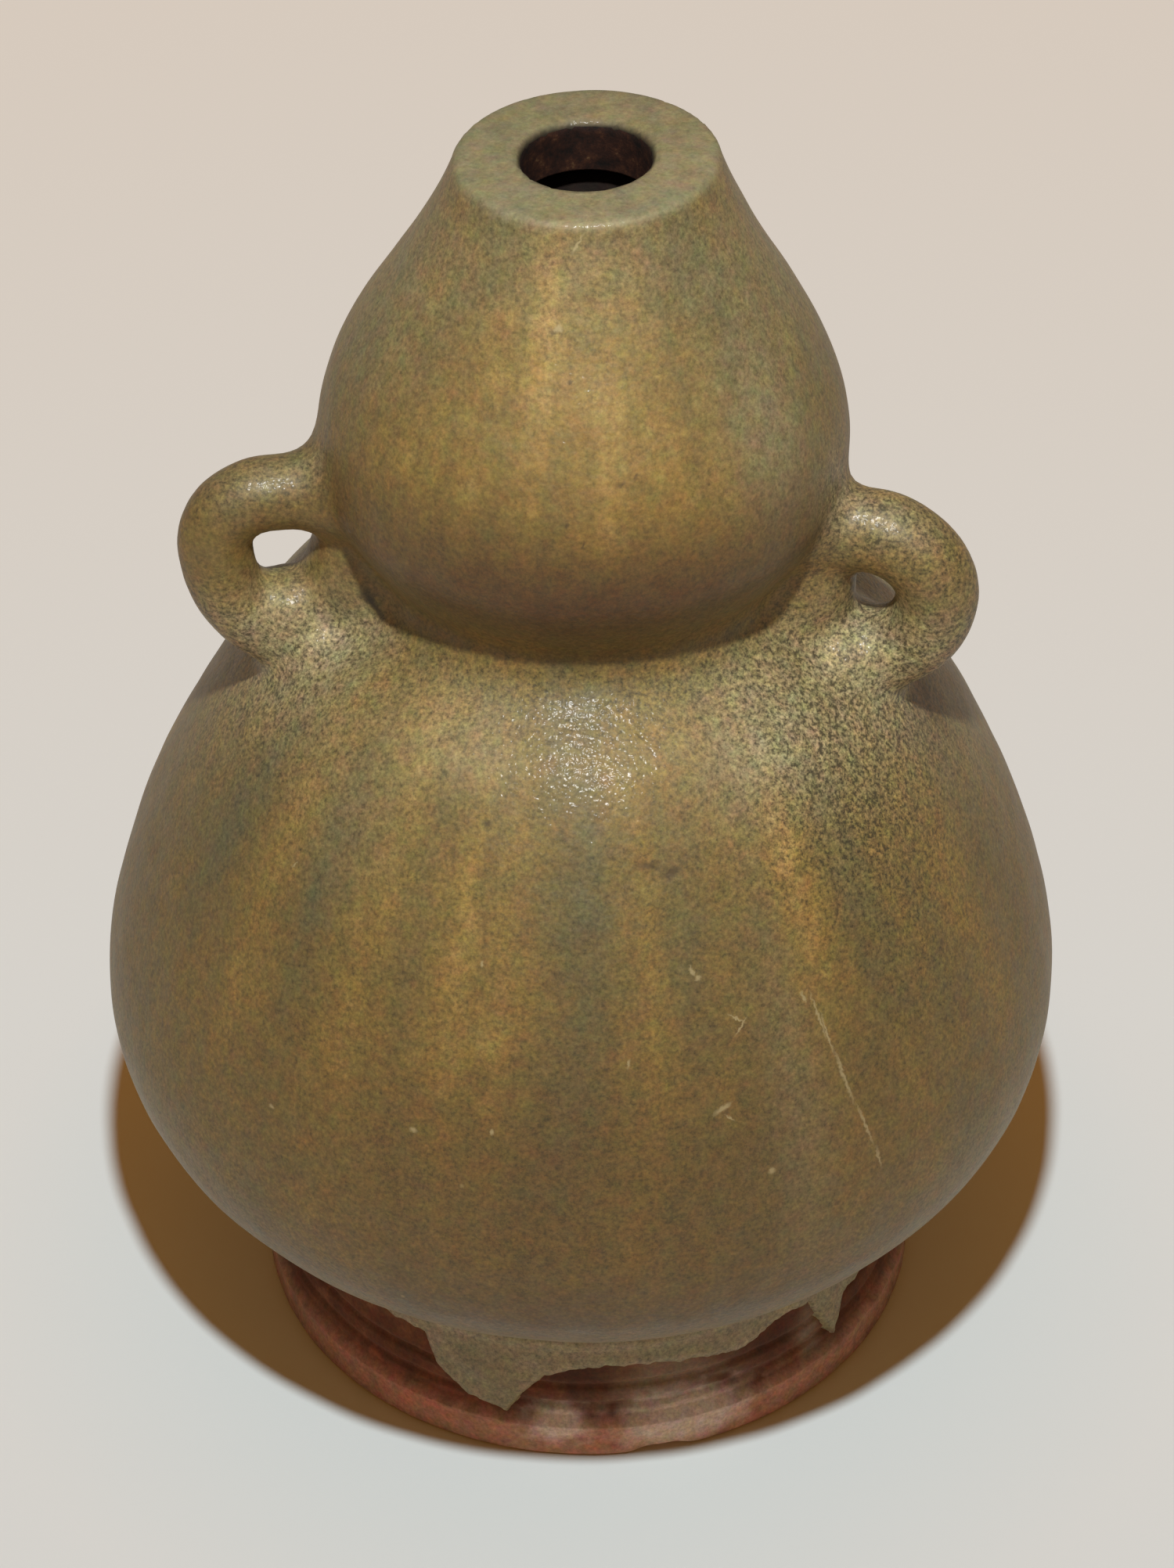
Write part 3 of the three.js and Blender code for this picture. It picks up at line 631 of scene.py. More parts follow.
def olive_ash_glaze():
    """Wood ash glaze, dipped and fired to stoneware heat. It runs in streaks that break from ochre
    where it is thin to grey green where it pools. Its skin is a dull, broad gloss under a thin
    glassy coat, pebbled so that it sparkles. Fine crystals speckle it, most of all where it lies
    thick round the loops, and use has pitted and scratched it."""
    made, tree = material("olive_ash_glaze")
    place = add(tree, "VectorMath", {0: add(tree, "TexCoord", out="Object"), 1: (1 / MM,) * 3},
                operation="MULTIPLY")
    level = add(tree, "VectorMath", {0: place, 1: (1, 1, 0)}, operation="MULTIPLY")
    ring = add(tree, "VectorMath", {0: level}, operation="NORMALIZE")
    upright = add(tree, "VectorMath", {0: place, 1: (0, 0, STREAK_STRETCH)}, operation="MULTIPLY")
    down_the_pot = add(tree, "VectorMath", {0: ring, 1: (STREAK_RADIUS,) * 3, 2: upright},
                       operation="MULTIPLY_ADD")
    patterns = {}
    for name, size, detail, roughness in (
            ("streaks", STREAK_WIDTH, 3, 0.55), ("clouds", CLOUD_SIZE, 4, 0.55),
            ("mottle", MOTTLE_SIZE, 4, 0.65), ("grain", GRAIN_SIZE, 4, 0.85),
            ("crystal", CRYSTAL_SIZE, 2, 0.75)):
        patterns[name] = add(tree, "TexNoise", {
            "Vector": down_the_pot if name == "streaks" else place, "Scale": 1 / size,
            "Detail": detail, "Roughness": roughness})
    mottle = patterns["mottle"]
    tinge = add(tree, "TexNoise", {"Vector": place, "Scale": 1 / TINGE_SIZE, "Detail": 3,
                                   "Roughness": 0.7}, out="Color")
    ochre, ash, shade, speckle, soot_and_shade = [
        add(tree, "Attribute", attribute_name=name, out="Fac")
        for name in ("ochre", "ash", "shade", "speckle", "soot_and_shade")]
    skin = add(tree, "Attribute", attribute_name="skin", out="Vector")

    tone = ochre
    for name, gain in (("streaks", 0.5), ("clouds", 0.5), ("mottle", 0.45)):
        swing = add(tree, "Math", {0: patterns[name], 1: gain, 2: -gain / 2},
                    operation="MULTIPLY_ADD")
        tone = add(tree, "Math", {0: tone, 1: swing}, operation="ADD")
    base = add(tree, "ValToRGB", {"Fac": tone}, stops=[
        (0.0, "#4c4b33"), (0.22, "#585334"), (0.45, "#69592f"), (0.7, "#7d6632"),
        (1.0, "#a2874c")])
    ragged = add(tree, "Math", {0: mottle, 1: 0.8, 2: 0.6}, operation="MULTIPLY_ADD")
    # The shade washes mix painted shade into the glaze here
    for amount, colour in ((ash, ASH_GREY), (shade, PAINTED_SHADE_BROWN)):
        covered = add(tree, "Math", {0: ragged, 1: amount}, operation="MULTIPLY", use_clamp=True)
        base = add(tree, "Mix", {0: covered, 6: base, 7: linear(colour)}, out=2, data_type="RGBA")

    swing = add(tree, "VectorMath", {0: tinge, 1: (1.8,) * 3, 2: (-0.4,) * 3},
                operation="MULTIPLY_ADD")
    base = add(tree, "Mix", {0: 0.17, 6: base, 7: swing}, out=2, data_type="RGBA",
               blend_type="OVERLAY")
    light = add(tree, "Math", {0: patterns["grain"], 1: 1.1, 2: 0.45}, operation="MULTIPLY_ADD")
    swing = add(tree, "Math", {0: patterns["crystal"], 1: 4.6, 2: -2.3}, operation="MULTIPLY_ADD")
    light = add(tree, "Math", {0: swing, 1: speckle, 2: light}, operation="MULTIPLY_ADD")
    light = add(tree, "Math", {0: light, 1: 0.25}, operation="MAXIMUM")
    base = add(tree, "VectorMath", {0: base, "Scale": light}, operation="SCALE")

    wear = add(tree, "TexNoise", {"Vector": place, "Scale": 1 / MARK_WEAR_SIZE, "Roughness": 0.6},
               out="Color")
    wear = add(tree, "VectorMath", {0: wear, 1: (0.5,) * 3, 2: (-0.25,) * 3},
               operation="MULTIPLY_ADD")
    rubbed = add(tree, "VectorMath", {0: skin, 1: wear}, operation="ADD")
    for marks, strength, colour in ((PITS, 0.65, "#2c1d12"), (CRACKS, 0.95, "#1a0703"),
                                    (SCRATCHES, 0.8, "#a3956c")):
        covered = add(tree, "Math", {0: strokes(tree, rubbed, marks), 1: strength},
                      operation="MULTIPLY")
        base = add(tree, "Mix", {0: covered, 6: base, 7: linear(colour)}, out=2, data_type="RGBA")
    cell = {"Vector": place, "Scale": 1 / PINHOLE_SPACING}
    pinhole = add(tree, "MapRange", {"Value": add(tree, "TexVoronoi", cell), 1: 0.055, 2: 0.025,
                                     3: 0.0, 4: 0.55})
    chosen = add(tree, "SeparateColor", {"Color": add(tree, "TexVoronoi", cell, out="Color")})
    chosen = add(tree, "Math", {0: chosen, 1: 0.55}, operation="GREATER_THAN")
    pinhole = add(tree, "Math", {0: pinhole, 1: chosen}, operation="MULTIPLY")
    for amount, colour in ((pinhole, PINHOLE_PALE), (soot_and_shade, BORE_SOOT_AND_SHADE)):
        base = add(tree, "Mix", {0: amount, 6: base, 7: linear(colour)}, out=2, data_type="RGBA")

    peel, pebbles = [
        add(tree, "Bump", {"Strength": 1.0, "Distance": depth * MM, "Height": add(
            tree, "TexNoise", {"Vector": place, "Scale": 1 / size, "Detail": 1})})
        for size, depth in ((PEEL_SIZE, PEEL_DEPTH), (PEBBLE_SIZE, PEBBLE_DEPTH))]
    gloss = add(tree, "MapRange", {"Value": mottle, 1: 0.3, 2: 0.7, 3: 0.56, 4: 0.68})
    add(tree, "OutputMaterial", {"Surface": add(tree, "BsdfPrincipled", {
        "Base Color": base, "Roughness": gloss, "IOR": 1.7, "Specular Tint": (1, 0.9, 0.66, 1),
        "Normal": peel, "Coat Weight": 0.14, "Coat Roughness": 0.2, "Coat IOR": 1.5,
        "Coat Normal": pebbles})})
    return made


def soot_and_shade_lining():
    """The same glaze inside the bore, made almost black by smoke, grime and painted shade for its
    depth.
    """
    made, tree = material("soot_and_shade_lining")
    place = add(tree, "VectorMath", {0: add(tree, "TexCoord", out="Object"), 1: (1 / MM,) * 3},
                operation="MULTIPLY")
    grime = add(tree, "TexNoise", {"Vector": place, "Scale": 1 / GRIME_SIZE, "Detail": 5,
                                   "Roughness": 0.75})
    base = add(tree, "ValToRGB", {"Fac": grime}, stops=[
        (0.38, BORE_SOOT_AND_SHADE), (0.52, "#2a160e"), (0.6, "#3d2416"), (0.7, "#6a5236")])
    bump = add(tree, "Bump", {"Strength": 0.8, "Distance": GRIME_DEPTH * MM, "Height": grime})
    add(tree, "OutputMaterial", {"Surface": add(tree, "BsdfPrincipled", {
        "Base Color": base, "Roughness": 0.75, "IOR": 1.35, "Normal": bump})})
    return made


# Size in millimetres of each pattern in the bare clay
CLAY_CLOUD_SIZE, CLAY_TINGE_SIZE = 4.5, 1.1
GRIT_SIZE, GRIT_DEPTH = 0.35, 0.08

# Colours of what the fire and the glaze left on the bare foot
FOOT_TINTS = {"band": "#c09c80", "dark": "#42200f", "amber": "#7d623c", "red": "#b4684e",
              "pale": "#dcd2c4"}


def bare_stoneware(name, colours):
    """Unglazed stoneware, turned on the wheel: brown from iron, dry, cloudy and gritty. It shines
    a little where the glaze has stained it amber."""
    made, tree = material(name)
    place = add(tree, "VectorMath", {0: add(tree, "TexCoord", out="Object"), 1: (1 / MM,) * 3},
                operation="MULTIPLY")
    clouds = add(tree, "TexNoise", {"Vector": place, "Scale": 1 / CLAY_CLOUD_SIZE, "Detail": 5,
                                    "Roughness": 0.65})
    tinge = add(tree, "TexNoise", {"Vector": place, "Scale": 1 / CLAY_TINGE_SIZE, "Detail": 3,
                                   "Roughness": 0.7}, out="Color")
    grit = add(tree, "TexNoise", {"Vector": place, "Scale": 1 / GRIT_SIZE, "Detail": 3,
                                  "Roughness": 0.6})
    base = add(tree, "ValToRGB", {"Fac": clouds}, stops=colours)
    ragged = add(tree, "Math", {0: clouds, 1: 0.9, 2: 0.55}, operation="MULTIPLY_ADD")
    amounts = {name: add(tree, "Attribute", attribute_name=name, out="Fac") for name in FOOT_TINTS}
    for tint_name, colour in FOOT_TINTS.items():
        covered = add(tree, "Math", {0: amounts[tint_name], 1: ragged}, operation="MULTIPLY",
                      use_clamp=True)
        base = add(tree, "Mix", {0: covered, 6: base, 7: linear(colour)}, out=2, data_type="RGBA")
    swing = add(tree, "VectorMath", {0: tinge, 1: (2.0,) * 3, 2: (-0.5,) * 3},
                operation="MULTIPLY_ADD")
    base = add(tree, "Mix", {0: 0.22, 6: base, 7: swing}, out=2, data_type="RGBA",
               blend_type="OVERLAY")
    light = add(tree, "Math", {0: grit, 1: 1.2, 2: 0.4}, operation="MULTIPLY_ADD")
    base = add(tree, "VectorMath", {0: base, "Scale": light}, operation="SCALE")
    bump = add(tree, "Bump", {"Strength": 0.7, "Distance": GRIT_DEPTH * MM, "Height": grit})
    dry = add(tree, "Math", {0: amounts["amber"], 1: -0.45, 2: 0.85}, operation="MULTIPLY_ADD")
    add(tree, "OutputMaterial", {"Surface": add(tree, "BsdfPrincipled", {
        "Base Color": base, "Roughness": dry, "IOR": 1.45, "Normal": bump})})
    return made


# Washes of colour over the coat: degrees from the photographed front, height, half width in
# degrees, half height and strength

OCHRE_WASHES = [
    (-50, 62, 4, 13, 0.5), (-30, 60, 3.5, 13, 0.45), (-36, 71, 12, 2.6, 0.3), (-19, 63, 3, 9, 0.3),
    (-9, 60, 4, 12, 0.3), (9.5, 60, 2.6, 12, 0.55), (33, 62, 4, 9, 0.5), (14, 72, 14, 2.2, 0.35),
    (-28, 71, 10, 2.5, 0.3), (-10, 107, 9, 5, 0.5), (-48, 95, 16, 6, 0.35), (0, 96, 26, 9, 0.25),
    (60, 48, 5, 12, 0.2), (-26, 45, 18, 6, 0.15), (20, 90, 22, 5, 0.2), (75, 84, 18, 6, 0.3),
    (95, 60, 5, 14, 0.4), (125, 58, 4, 16, 0.45), (150, 60, 5, 12, 0.4), (178, 58, 5, 15, 0.45),
    (-155, 58, 4, 16, 0.45), (-128, 60, 4, 14, 0.4), (-100, 52, 6, 12, 0.3),
    (160, 95, 20, 9, 0.35), (0, 101, 40, 9, 0.3), (180, 101, 40, 9, 0.3), (-75, 86, 14, 5, 0.3),
]
GREEN_WASHES = [
    (-76, 86, 7, 3, 0.6), (66, 86, 8, 4, 0.5),
    (-62, 58, 4, 10, 0.35), (-40, 60, 3.2, 10, 0.4), (-24, 58, 3, 8, 0.2), (1, 58, 4.5, 12, 0.4),
    (15.5, 59, 3.4, 9, 0.4), (44, 60, 4.5, 8, 0.4), (24, 56, 3, 9, 0.2), (0, 73.6, 50, 1.5, 0.4),
    (-75, 98, 16, 6, 0.4), (-50, 101, 10, 5, 0.3), (36, 106, 14, 5, 0.35), (50, 99, 14, 7, 0.2),
    (110, 60, 4, 12, 0.4), (138, 58, 4, 12, 0.4), (165, 60, 4, 10, 0.4), (-168, 58, 4, 12, 0.4),
    (-142, 58, 4, 12, 0.4), (-112, 60, 5, 10, 0.4), (180, 73.6, 50, 1.5, 0.4),
]
# The two washes at 28 mm low on the sides are partly pale glaze and partly painted sheen: the pale
# table reflected on the belly's lower edges
ASH_WASHES = [
    (-76, 87, 6, 2.5, 0.3), (68, 86, 9, 3.5, 0.9), (48, 94, 13, 7, 0.4), (-24, 71, 12, 2.5, 0.35),
    (86, 60, 16, 8, 0.25), (-86, 60, 16, 8, 0.2), (27, 44, 4, 14, 0.25),
    (-80, 70, 24, 6, 0.55), (75, 70, 26, 7, 0.7), (36, 70, 14, 4, 0.6), (-66, 72, 12, 4, 0.3),
    (-40, 66, 12, 6, 0.2), (-80, 102, 40, 8, 0.3), (80, 102, 40, 8, 0.3), (0, 108, 70, 4, 0.25),
    (-78, 28, 30, 6, 1.0), (78, 28, 30, 6, 1.0), (150, 70, 30, 4, 0.3), (-140, 70, 30, 4, 0.3),
]
# Painted shade: these washes brown and darken the glaze under the upper bulb, low on the front and
# back of the belly and at its sides, and the wash at 80 degrees paints the right loop's shadow on
# the shoulder
SHADE_WASHES = [
    (0, 84.8, 62, 5.6, 0.95), (0, 59, 14, 6, 0.1), (0, 42, 44, 12, 0.5), (0, 27, 40, 7, 0.35),
    (80, 64, 6, 3, 0.7),
    (180, 85.5, 62, 6, 0.5), (180, 42, 60, 12, 0.3), (-84, 50, 20, 8, 0.15), (84, 50, 20, 8, 0.15),
]
SPECKLE_WASHES = [
    (-76, 86, 6, 3, 0.4), (70, 86, 8, 4, 0.4), (0, 96, 60, 9, -0.2),
    (-82, 69, 26, 7, 0.7), (75, 68, 32, 8, 0.9), (46, 66, 14, 7, 0.5), (0, 74, 70, 2.2, 0.35),
    (-82, 80, 20, 5, -0.15), (76, 82, 20, 4, 0.35), (52, 56, 10, 10, 0.3), (180, 72, 60, 3, 0.35),
]

# How strongly the washes turn the glaze between ochre and green, what it has without them, and
# what the flat mouth and the lowest part of the body have besides
WASH_DEPTH = 0.48
SPECKLE_BASE = 0.5
MOUTH_GREEN, MOUTH_ASH, MOUTH_CALM = 0.2, 0.4, 0.3
MOUTH_SPAN = (0.8, 0.2)
# LOW_ASH pales the lowest part of the body all round: partly a roll of thick pale glaze, partly
# painted sheen of the table reflected there
LOW_ASH = 0.45
LOW_SPAN = (28, 20)
BORE_EDGE = 0.5


def photographed_turn(rows):
    """Degrees from the photographed front, towards the right."""
    around = np.degrees(np.arctan2(rows[:, 0], -rows[:, 1])) - math.degrees(VIEW_TURN)
    return (around + 180) % 360 - 180


def wash(rows, washes, base=0.0):
    """How strongly the washes cover each row."""
    around = photographed_turn(rows)
    amount = np.full(len(rows), float(base))
    for turn, height, width, tall, strength in washes:
        off = (around - turn + 180) % 360 - 180
        amount += strength * np.exp(-(off / width) ** 2 - ((rows[:, 2] - height) / tall) ** 2)
    return amount


def attribute(piece, name, values):
    made = piece.data.attributes.new(name, "FLOAT", "POINT")
    made.data.foreach_set("value", np.asarray(values, np.float32))


def tint(piece, rows):
    """Stores on the coat its washes, the soot and painted shade of the bore, and where each point
    lies
    on the skin: how far round, how high and how far proud of the body, in millimetres."""
    radius, height = side_view(rows).T
    top = smoothstep(*MOUTH_SPAN, TOTAL_HEIGHT - height)
    low = smoothstep(*LOW_SPAN, height)
    washed = wash(rows, OCHRE_WASHES) - wash(rows, GREEN_WASHES)
    attribute(piece, "ochre", 0.5 + WASH_DEPTH * washed - MOUTH_GREEN * top)
    attribute(piece, "ash", wash(rows, ASH_WASHES) + MOUTH_ASH * top + LOW_ASH * low)
    attribute(piece, "shade", wash(rows, SHADE_WASHES) * (1 - top))
    attribute(piece, "speckle", wash(rows, SPECKLE_WASHES, SPECKLE_BASE) - MOUTH_CALM * top)
    # The bore is painted near black: soot, and painted shade for the deep, unlit bore
    bore = smoothstep(BORE_RADIUS + BORE_EDGE, BORE_RADIUS, radius) * (height > CROWN[1])
    attribute(piece, "soot_and_shade", bore)
    wall = outside_radius(height)
    skin = np.c_[np.radians(photographed_turn(rows)) * wall, height, radius - wall]
    made = piece.data.attributes.new("skin", "FLOAT_VECTOR", "POINT")
    made.data.foreach_set("vector", skin.astype(np.float32).ravel())


# The lower edge of the glaze, with its runs

# The edge's rags as height, size and seed, the plain skirt that it starts as, how it sinks into
# the clay and swells above its edge, and where it joins the body's underside
EDGE_RAGS = [(0.3, 1.7, 11), (0.2, 0.6, 12)]
SKIRT_ROWS, SKIRT_BACK_STEP, TURN_STEP = 52, 12, 0.25
SKIRT_OVERLAP, SKIRT_LOW, SKIRT_START, SKIRT_SINK = 0.5, 0.1, 1.0, 1.2
EDGE_SINK, EDGE_SINK_WIDTH = 0.4, 0.3
SKIRT_SWELL, SKIRT_SWELL_SPAN = 0.1, (1, 3)
SKIRT_LUMP, SKIRT_LUMP_SIZE = 0.05, 3
JOIN_SPAN = (FOOT_TOP - 0.6, UNDERCUT[1] - 0.2)
JOIN_INSET, JOIN_SLOPE = 0.1, 0.3
SKIRT_OCHRE, SKIRT_ASH, SKIRT_ASH_SWING, SKIRT_ASH_SIZE = 0.3, 0.85, 0.2, 2.5


def edge_height(degrees):
    """Height of the glaze's edge at each angle from the front."""
    turns, heights = np.array(GLAZE_EDGE, float).T
    turns = np.r_[turns[-1] - 360, turns, turns[0] + 360]
    heights = np.r_[heights[-1], heights, heights[0]]
    first = GLAZE_EDGE[0][0]
    smooth = np.interp((degrees - first) % 360 + first, turns, heights)
    around = np.radians(degrees)
    ring = np.c_[np.cos(around), np.sin(around), 0 * around] * FOOT_RADIUS
    return smooth + sum(depth * rough(ring, size, seed) for depth, size, seed in EDGE_RAGS)


def glaze_skirt():
    """The glaze below the undercut. It is turned as a plain skirt over the foot, then its edge is
    rounded along the runs, and what lies below them sinks into the clay."""
    heights = np.linspace(UNDERCUT[1] + SKIRT_OVERLAP, FOOT_BAND_HEIGHT + SKIRT_LOW, SKIRT_ROWS)
    outer = np.c_[foot_wall(heights) + SKIRT_START, heights]
    heights = heights[::-SKIRT_BACK_STEP]
    inner = np.c_[foot_wall(heights) - SKIRT_SINK, heights]
    piece = spun("glaze_runs", np.vstack([outer, inner, outer[:1]]), SKIRT_STEPS)
    rows = corners_of(piece)
    radius, height = side_view(rows).T
    degrees = np.degrees(np.arctan2(rows[:, 0], -rows[:, 1]))
    turns = np.linspace(-180, 180, round(360 / TURN_STEP) + 1)
    edge = edge_height(turns)
    slope = np.gradient(edge, np.radians(TURN_STEP) * FOOT_RADIUS)
    into = height - np.interp(degrees, turns, edge)
    into /= np.sqrt(1 + np.interp(degrees, turns, slope) ** 2)
    round_over = np.sqrt(1 - (1 - np.clip(into / EDGE_BEAD_WIDTH, 0, 1)) ** 2)
    sunk = EDGE_SINK * np.clip(-into / EDGE_SINK_WIDTH, 0, 1)
    thick = np.where(into > 0, EDGE_BEAD_HEIGHT * round_over, -sunk)
    wall = foot_wall(height) + thick + SKIRT_SWELL * smoothstep(*SKIRT_SWELL_SPAN, into)
    blend = smoothstep(*JOIN_SPAN, height)
    under_body = UNDERCUT[0] - JOIN_INSET + JOIN_SLOPE * (UNDERCUT[1] - height)
    wall = wall * (1 - blend) + np.maximum(under_body, wall) * blend
    outside = radius > foot_wall(height)
    rows[:, :2] *= np.where(outside, wall / radius, 1)[:, None]
    lumps = SKIRT_LUMP * rough(rows, SKIRT_LUMP_SIZE, 13) * outside
    rows[:, :2] *= 1 + (lumps / radius)[:, None]
    move_corners(piece, settle(rows))
    attribute(piece, "ochre", np.full(len(rows), SKIRT_OCHRE))
    attribute(piece, "ash", SKIRT_ASH + SKIRT_ASH_SWING * rough(rows, SKIRT_ASH_SIZE, 14))
    attribute(piece, "shade", np.zeros(len(rows)))
    attribute(piece, "speckle", np.full(len(rows), SPECKLE_BASE))
    return piece


# The turned foot

# Its washes, in the same terms as those on the coat
RED_WASHES = [(2.5, 2.6, 5, 1.6, 0.7), (29, 1.8, 6, 2, 0.5), (-35, 3, 20, 2, 0.35)]
PALE_WASHES = [(-5, 3.6, 4.5, 1.5, 1.4), (17, 3.4, 9.5, 2.2, 1.8), (150, 4, 10, 2, 0.7)]
DARK_WASHES = [
    (-1, 8.6, 7, 2.2, 0.9), (38, 8, 7, 2.4, 0.7), (-60, 8, 14, 3, 0.2), (170, 7, 30, 3, 0.5),
]
AMBER_WASHES = [(15, 7.6, 9, 3.0, 1.2), (43, 6.4, 3.2, 2.4, 0.9)]

# Its rows of points, its lumps as depth, size and seed, the chip in its front edge, and the band
# at its base with the rags of its stains
WALL_ROWS, BAND_ROWS, BASE_ROWS = 34, 12, 10
BASE_MARGIN = 1.2
OUTER_FROM, CHIP_FROM = FOOT_INNER_RADIUS + 1, FOOT_INNER_RADIUS + 3
BASE_CALM = 0.8
FOOT_LUMPS = [(0.1, 4, 21), (0.06, 1.2, 22), (0.03, 0.5, 23)]
CHIP_TURN, CHIP_HALF, CHIP_DEPTH, CHIP_HEIGHT = 12.5, 4.5, 0.75, 1.6
BAND_SPAN = (4.6, 3.4)
BAND_TAN, BAND_RED = 0.8, 0.1
TINT_RAG, TINT_RAG_SIZE, TINT_LEAST = 0.35, 1.3, 0.1


def turned_foot():
    """The foot ring as turned, then roughened, chipped at its front and stained."""
    wall_heights = np.linspace(FOOT_BAND_HEIGHT + FOOT_STEP, FOOT_TOP, WALL_ROWS)
    wall = foot_wall(wall_heights)
    for centre in GROOVE_HEIGHTS:
        wall -= GROOVE_DEPTH * np.clip(1 - np.abs(wall_heights - centre) / GROOVE_WIDTH * 2, 0, 1)
    inner_top = FOOT_TOP - (FOOT_TOP_RADIUS - FOOT_INNER_RADIUS) * SEAT_SLOPE
    bevel = FOOT_BEVEL
    outline = np.vstack([
        arc((FOOT_INNER_RADIUS + bevel, bevel), bevel, 180, 270, 4),
        np.c_[np.linspace(FOOT_INNER_RADIUS + BASE_MARGIN, FOOT_RADIUS - BASE_MARGIN, BASE_ROWS),
              np.zeros(BASE_ROWS)],
        arc((FOOT_RADIUS - bevel, bevel), bevel, 270, 360, 5),
        np.c_[np.full(BAND_ROWS, FOOT_RADIUS),
              np.linspace(1.5 * bevel, FOOT_BAND_HEIGHT, BAND_ROWS)],
        np.c_[wall, wall_heights],
        [(FOOT_INNER_RADIUS, inner_top), (FOOT_INNER_RADIUS, bevel)],
    ])
    piece = spun("turned_foot", outline, FOOT_STEPS)
    rows = corners_of(piece)
    radius, height = side_view(rows).T
    outer = radius > OUTER_FROM
    move = sum(depth * rough(rows, size, seed) for depth, size, seed in FOOT_LUMPS)
    move *= smoothstep(0, BASE_CALM, height) * outer
    rows[:, :2] *= (1 + move / radius)[:, None]
    chipped = np.exp(-((photographed_turn(rows) - CHIP_TURN) / CHIP_HALF) ** 4)
    chipped *= radius > CHIP_FROM
    rows[:, 2] += CHIP_DEPTH * chipped * np.clip(1 - height / CHIP_HEIGHT, 0, 1)
    ragged = TINT_RAG * rough(rows, TINT_RAG_SIZE, 31)
    band = smoothstep(*BAND_SPAN, height)
    tints = {
        "band": BAND_TAN * band,
        "red": BAND_RED * band + wash(rows, RED_WASHES),
        "pale": wash(rows, PALE_WASHES),
        "dark": wash(rows, DARK_WASHES),
        "amber": wash(rows, AMBER_WASHES),
    }
    for name, amount in tints.items():
        attribute(piece, name, np.clip((amount + ragged * (amount > TINT_LEAST)) * outer, 0, 1))
    move_corners(piece, settle(rows))
    return piece


# Build

glaze = olive_ash_glaze()
clay = bare_stoneware("bare_stoneware", [(0.3, "#4e2c15"), (0.5, "#633a1e"), (0.62, "#76492a"),
                                         (0.75, "#957350")])
# The clay inside is near black: painted shade for the unlit hollow seen down the bore, over the
# clay's own dark brown
inner_clay = bare_stoneware("inner_stoneware", [(0.3, "#120b07"), (0.7, "#2a1c12")])
slip = bare_stoneware("fired_slip", [(0.3, "#8d7c55"), (0.7, "#b3a177")])

coat = glaze_coat()
hollow_out(coat)
rows = corners_of(coat)
tint(coat, rows)
move_corners(coat, settle(rows))
skirt = glaze_skirt()
foot = turned_foot()


def dress(piece, made, slot, *nodes):
    piece.data.materials.clear()
    piece.data.materials.append(made)
    pick(piece)
    bpy.ops.object.shade_smooth()
    if nodes:
        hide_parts(*nodes)
    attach(piece, "root")


dress(coat, glaze, "olive_glaze", "lower_glaze", "upper_glaze", "left_handle_glaze",
      "right_handle_glaze", "left_top_slip", "left_root_slip", "right_top_slip", "right_root_slip")
dress(skirt, glaze, "olive_glaze")
dress(foot, clay, "bare_clay", "foot_ring")

# The bore takes the near-black lining: soot, and painted shade for its depth
coat.data.materials.append(soot_and_shade_lining())
radius, height = side_view(np.array([face.center for face in coat.data.polygons]) / MM).T
bored = (radius < BORE_RADIUS + BORE_EDGE) & (height > WAIST[1])
bored &= height < TOTAL_HEIGHT - LIP_ROUNDING
coat.data.polygons.foreach_set("material_index", bored.astype(np.int32))

CARRIED = {
    "lower_bulb": inner_clay, "upper_bulb": inner_clay, "waist_slip": slip, "foot_slip": slip,
    "left_handle": clay, "right_handle": clay,
}
for name, made in CARRIED.items():
    for material_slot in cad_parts[name].material_slots:
        material_slot.material = made


# Table, lights and camera

def turned_place(x, y, z):
    """A place given as seen in the photograph, turned with the view."""
    return Matrix.Rotation(VIEW_TURN, 3, "Z") @ Vector((x, y, z)) * MM


FLASH_PLACE = turned_place(0, -169, 371)
FLASH_POWER = 4.8
FLASH_RADIUS = 9 * MM
EVEN_TO = 425 * MM
TABLE_SIZE = 4
LENS = 93.8
CAMERA_PLACE = turned_place(0.26, -266.6, 265.4)
CAMERA_DIP = math.radians(38.81)

# Amber glow painted into the paper's own light in the vase's shadow, standing in for the room's
# light: its strength beside the foot and further out, and where it grows
GLOW = (0.03, 0.115)
GLOW_SPAN = (26 * MM, 56 * MM)

deselect()
bpy.ops.mesh.primitive_plane_add(size=TABLE_SIZE)
table = bpy.context.object
table.name = "table"


def seen_directly(tree):
    """One for the rays that show a thing to the eye, straight or in a gloss or through glass."""
    rays = tree.nodes.new("ShaderNodeLightPath").outputs
    seen = rays["Is Camera Ray"]
    for other in ("Is Glossy Ray", "Is Transmission Ray"):
        seen = add(tree, "Math", {0: seen, 1: rays[other]}, operation="MAXIMUM")
    return seen


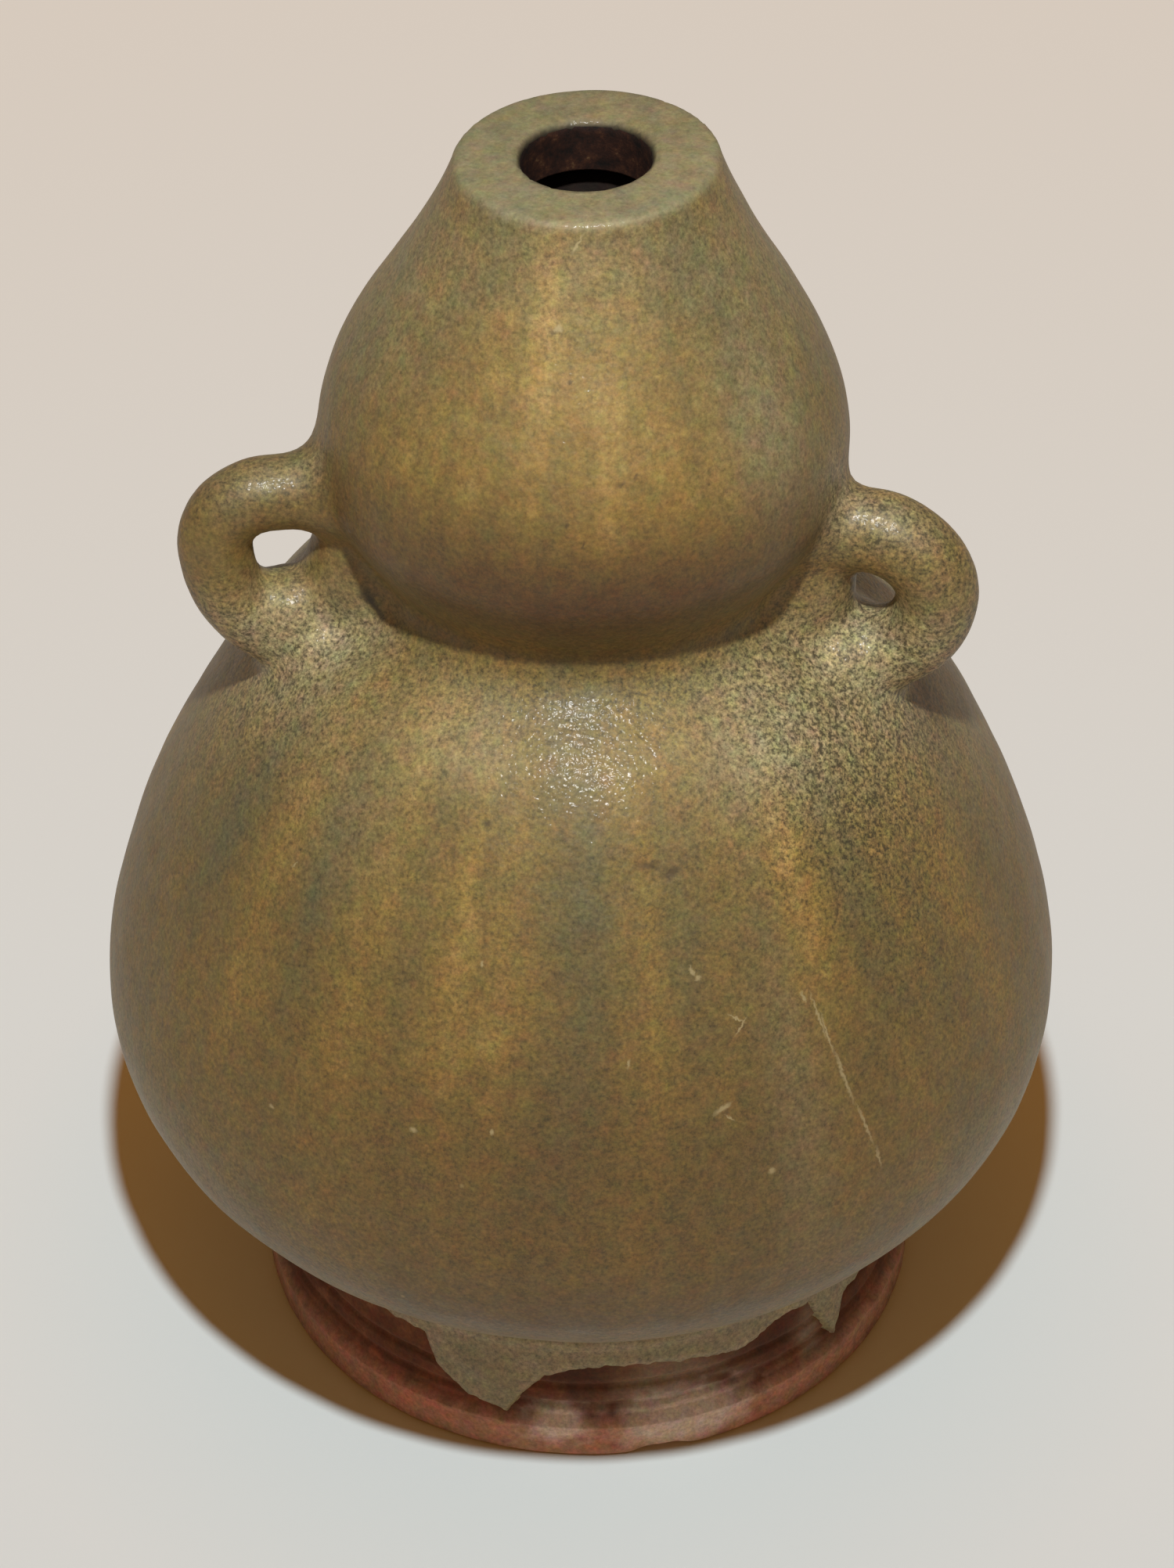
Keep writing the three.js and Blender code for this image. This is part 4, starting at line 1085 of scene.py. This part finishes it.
def evenly_lit_paper():
    """Pale paper. Its colour and a little light of its own make up for the lamp's fall with
    distance, so it looks evenly pale. It keeps the vase's shadow, which glows amber away from
    the foot."""
    made, tree = material("pale_paper")
    place = add(tree, "TexCoord", out="Object")
    far = add(tree, "VectorMath", {0: place, 1: FLASH_PLACE}, out="Value", operation="DISTANCE")
    ratio = add(tree, "Math", {0: far, 1: EVEN_TO}, operation="DIVIDE")
    ratio = add(tree, "Math", {0: ratio, 1: 3.0}, operation="POWER")
    near = add(tree, "Math", {0: ratio, 1: 1.0}, operation="MINIMUM")
    colour = add(tree, "Mix", {0: near, 6: (0, 0, 0, 1), 7: linear("#e7f8fc")}, out=2,
                 data_type="RGBA")
    kept = add(tree, "Math", {0: 1.0, 1: ratio}, operation="DIVIDE")
    lacking = add(tree, "Math", {0: 1.0, 1: kept}, operation="SUBTRACT", use_clamp=True)
    lit = add(tree, "BsdfDiffuse", {"Color": colour})
    from_foot = add(tree, "VectorMath", {0: place}, out="Value", operation="LENGTH")
    glow = add(tree, "MapRange", {"Value": from_foot, 1: GLOW_SPAN[0], 2: GLOW_SPAN[1],
                                  3: GLOW[0], 4: GLOW[1]})
    warm = add(tree, "Emission", {"Color": linear("#ff9628"), "Strength": glow})
    plain = add(tree, "Emission", {"Color": linear("#b6b3ac"), "Strength": lacking})
    shown = add(tree, "AddShader", {0: add(tree, "AddShader", {0: lit, 1: warm}), 1: plain})
    unseen = add(tree, "BsdfDiffuse", {"Color": linear("#e7cdc0")})
    add(tree, "OutputMaterial", {"Surface": add(tree, "MixShader", {
        0: seen_directly(tree), 1: unseen, 2: shown})})
    return made


table.data.materials.append(evenly_lit_paper())

lamp = bpy.data.lights.new("flash", "POINT")
lamp.energy = FLASH_POWER
lamp.shadow_soft_size = FLASH_RADIUS
flash = bpy.data.objects.new("flash", lamp)
flash.location = FLASH_PLACE
bpy.context.scene.collection.objects.link(flash)

world = bpy.data.worlds.new("room")
bpy.context.scene.world = world
world.use_nodes = True
world.node_tree.nodes.clear()
tree = world.node_tree
dim = add(tree, "Background", {"Color": linear("#c9985c"), "Strength": 0.2})
bright = add(tree, "Background", {"Color": linear("#d2c8bd"), "Strength": 0.6})
add(tree, "OutputWorld", {"Surface": add(tree, "MixShader", {
    0: seen_directly(tree), 1: dim, 2: bright})})

camera = bpy.data.objects.new("camera", bpy.data.cameras.new("camera"))
bpy.context.scene.collection.objects.link(camera)
camera.data.lens = LENS
camera.data.clip_start = 10 * MM
camera.location = CAMERA_PLACE
camera.rotation_euler = (math.pi / 2 - CAMERA_DIP, 0, VIEW_TURN)
bpy.context.scene.camera = camera

bpy.context.scene.view_settings.view_transform = "Standard"
